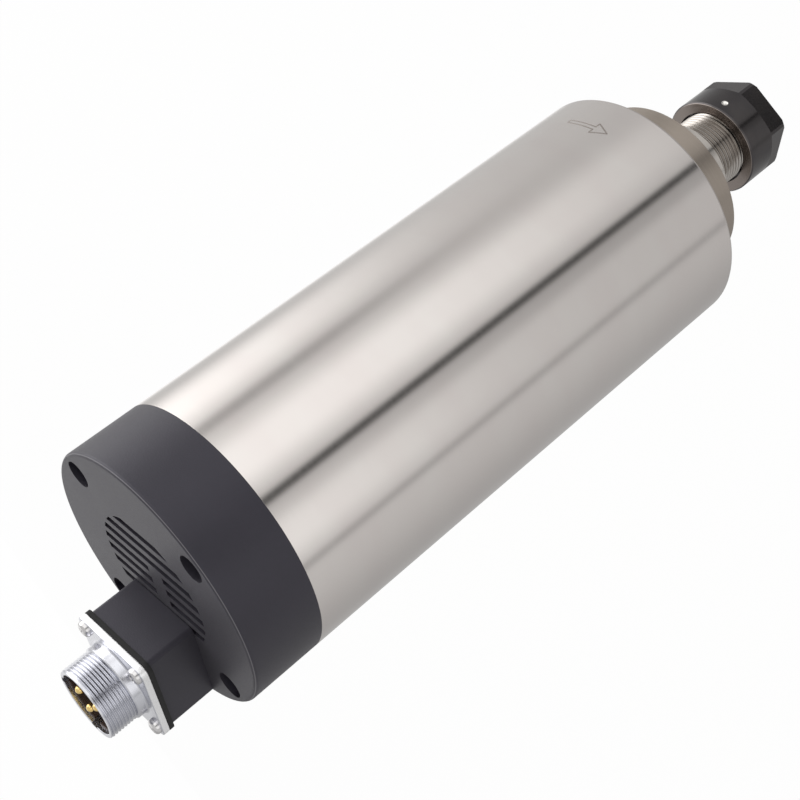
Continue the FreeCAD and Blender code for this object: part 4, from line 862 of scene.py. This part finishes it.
glow = tent_shading.fade(tent_z, *WALL_FADE, WALL_LOW_LEVEL, WALL_LEVEL)
for middle, half, edge, strength, foot, top in LAMPS:
    beam = tent_shading.fade(aside(middle), half, half + edge, strength, 0.0)
    glow = glow + beam * tent_shading.fade(tent_z, foot, top)
for middle, half, edge, high_depth, low_depth in GAPS:
    depth = tent_shading.fade(tent_z, *GAP_FADE, low_depth, high_depth)
    glow = glow * (1.0 - depth * tent_shading.fade(aside(middle), half, half + edge, 1.0, 0.0))
on_roof = tent_shading.fade(tent_z, TENT_HIGH - SEAM[1], TENT_HIGH - SEAM[0])
on_ground = tent_shading.fade(tent_z, TENT_LOW + SEAM[0], TENT_LOW + SEAM[1], 1.0, 0.0)
glow = glow * (1.0 - on_roof - on_ground) + on_roof * ROOF_LEVEL + on_ground * GROUND_LEVEL
tent_light = tent_shading.node("ShaderNodeVectorMath", {"operation": "SCALE"},
                               {0: TENT_COLOUR, "Scale": glow})
lit = tent_shading.node("ShaderNodeEmission", {}, {"Color": tent_light, "Strength": 1.0})
tent_shading.give(cloth.node_tree.nodes["Material Output"], {"Surface": lit})
tent_mesh = bmesh.new()
bmesh.ops.create_cone(tent_mesh, cap_ends=True, segments=TENT_SIDES, radius1=TENT_RADIUS,
                      radius2=TENT_RADIUS, depth=TENT_HIGH - TENT_LOW)
bmesh.ops.translate(tent_mesh, vec=(0, 0, (TENT_HIGH + TENT_LOW) / 2), verts=tent_mesh.verts)
light_tent = staged("light_tent", tent_mesh, cloth)
light_tent.visible_camera = False
light_tent.visible_shadow = False


# Sky
# Pale light outside the tent, and plain white wherever the camera or a reflection looks past it.
SKY_LEVEL = 0.9
sky = bpy.data.worlds.new("studio_sky")
sky.use_nodes = True
bpy.context.scene.world = sky
sky_shading = Shading(sky.node_tree)
path = {name: sky_shading.node("ShaderNodeLightPath", output=name)
        for name in ("Is Camera Ray", "Is Glossy Ray", "Is Transmission Ray")}
shown = path["Is Camera Ray"] + path["Is Glossy Ray"] + path["Is Transmission Ray"]
shown = shown.worked("MINIMUM", shown, 1.0)
plain_sky = sky_shading.node("ShaderNodeBackground", {}, {"Color": (1, 1, 1, 1), "Strength": SKY_LEVEL})
white_sky = sky_shading.node("ShaderNodeBackground", {}, {"Color": (1, 1, 1, 1), "Strength": 1.0})
sky_look = sky_shading.node("ShaderNodeMixShader", {}, {0: shown, 1: plain_sky, 2: white_sky})
sky_shading.give(sky.node_tree.nodes["World Output"], {"Surface": sky_look})
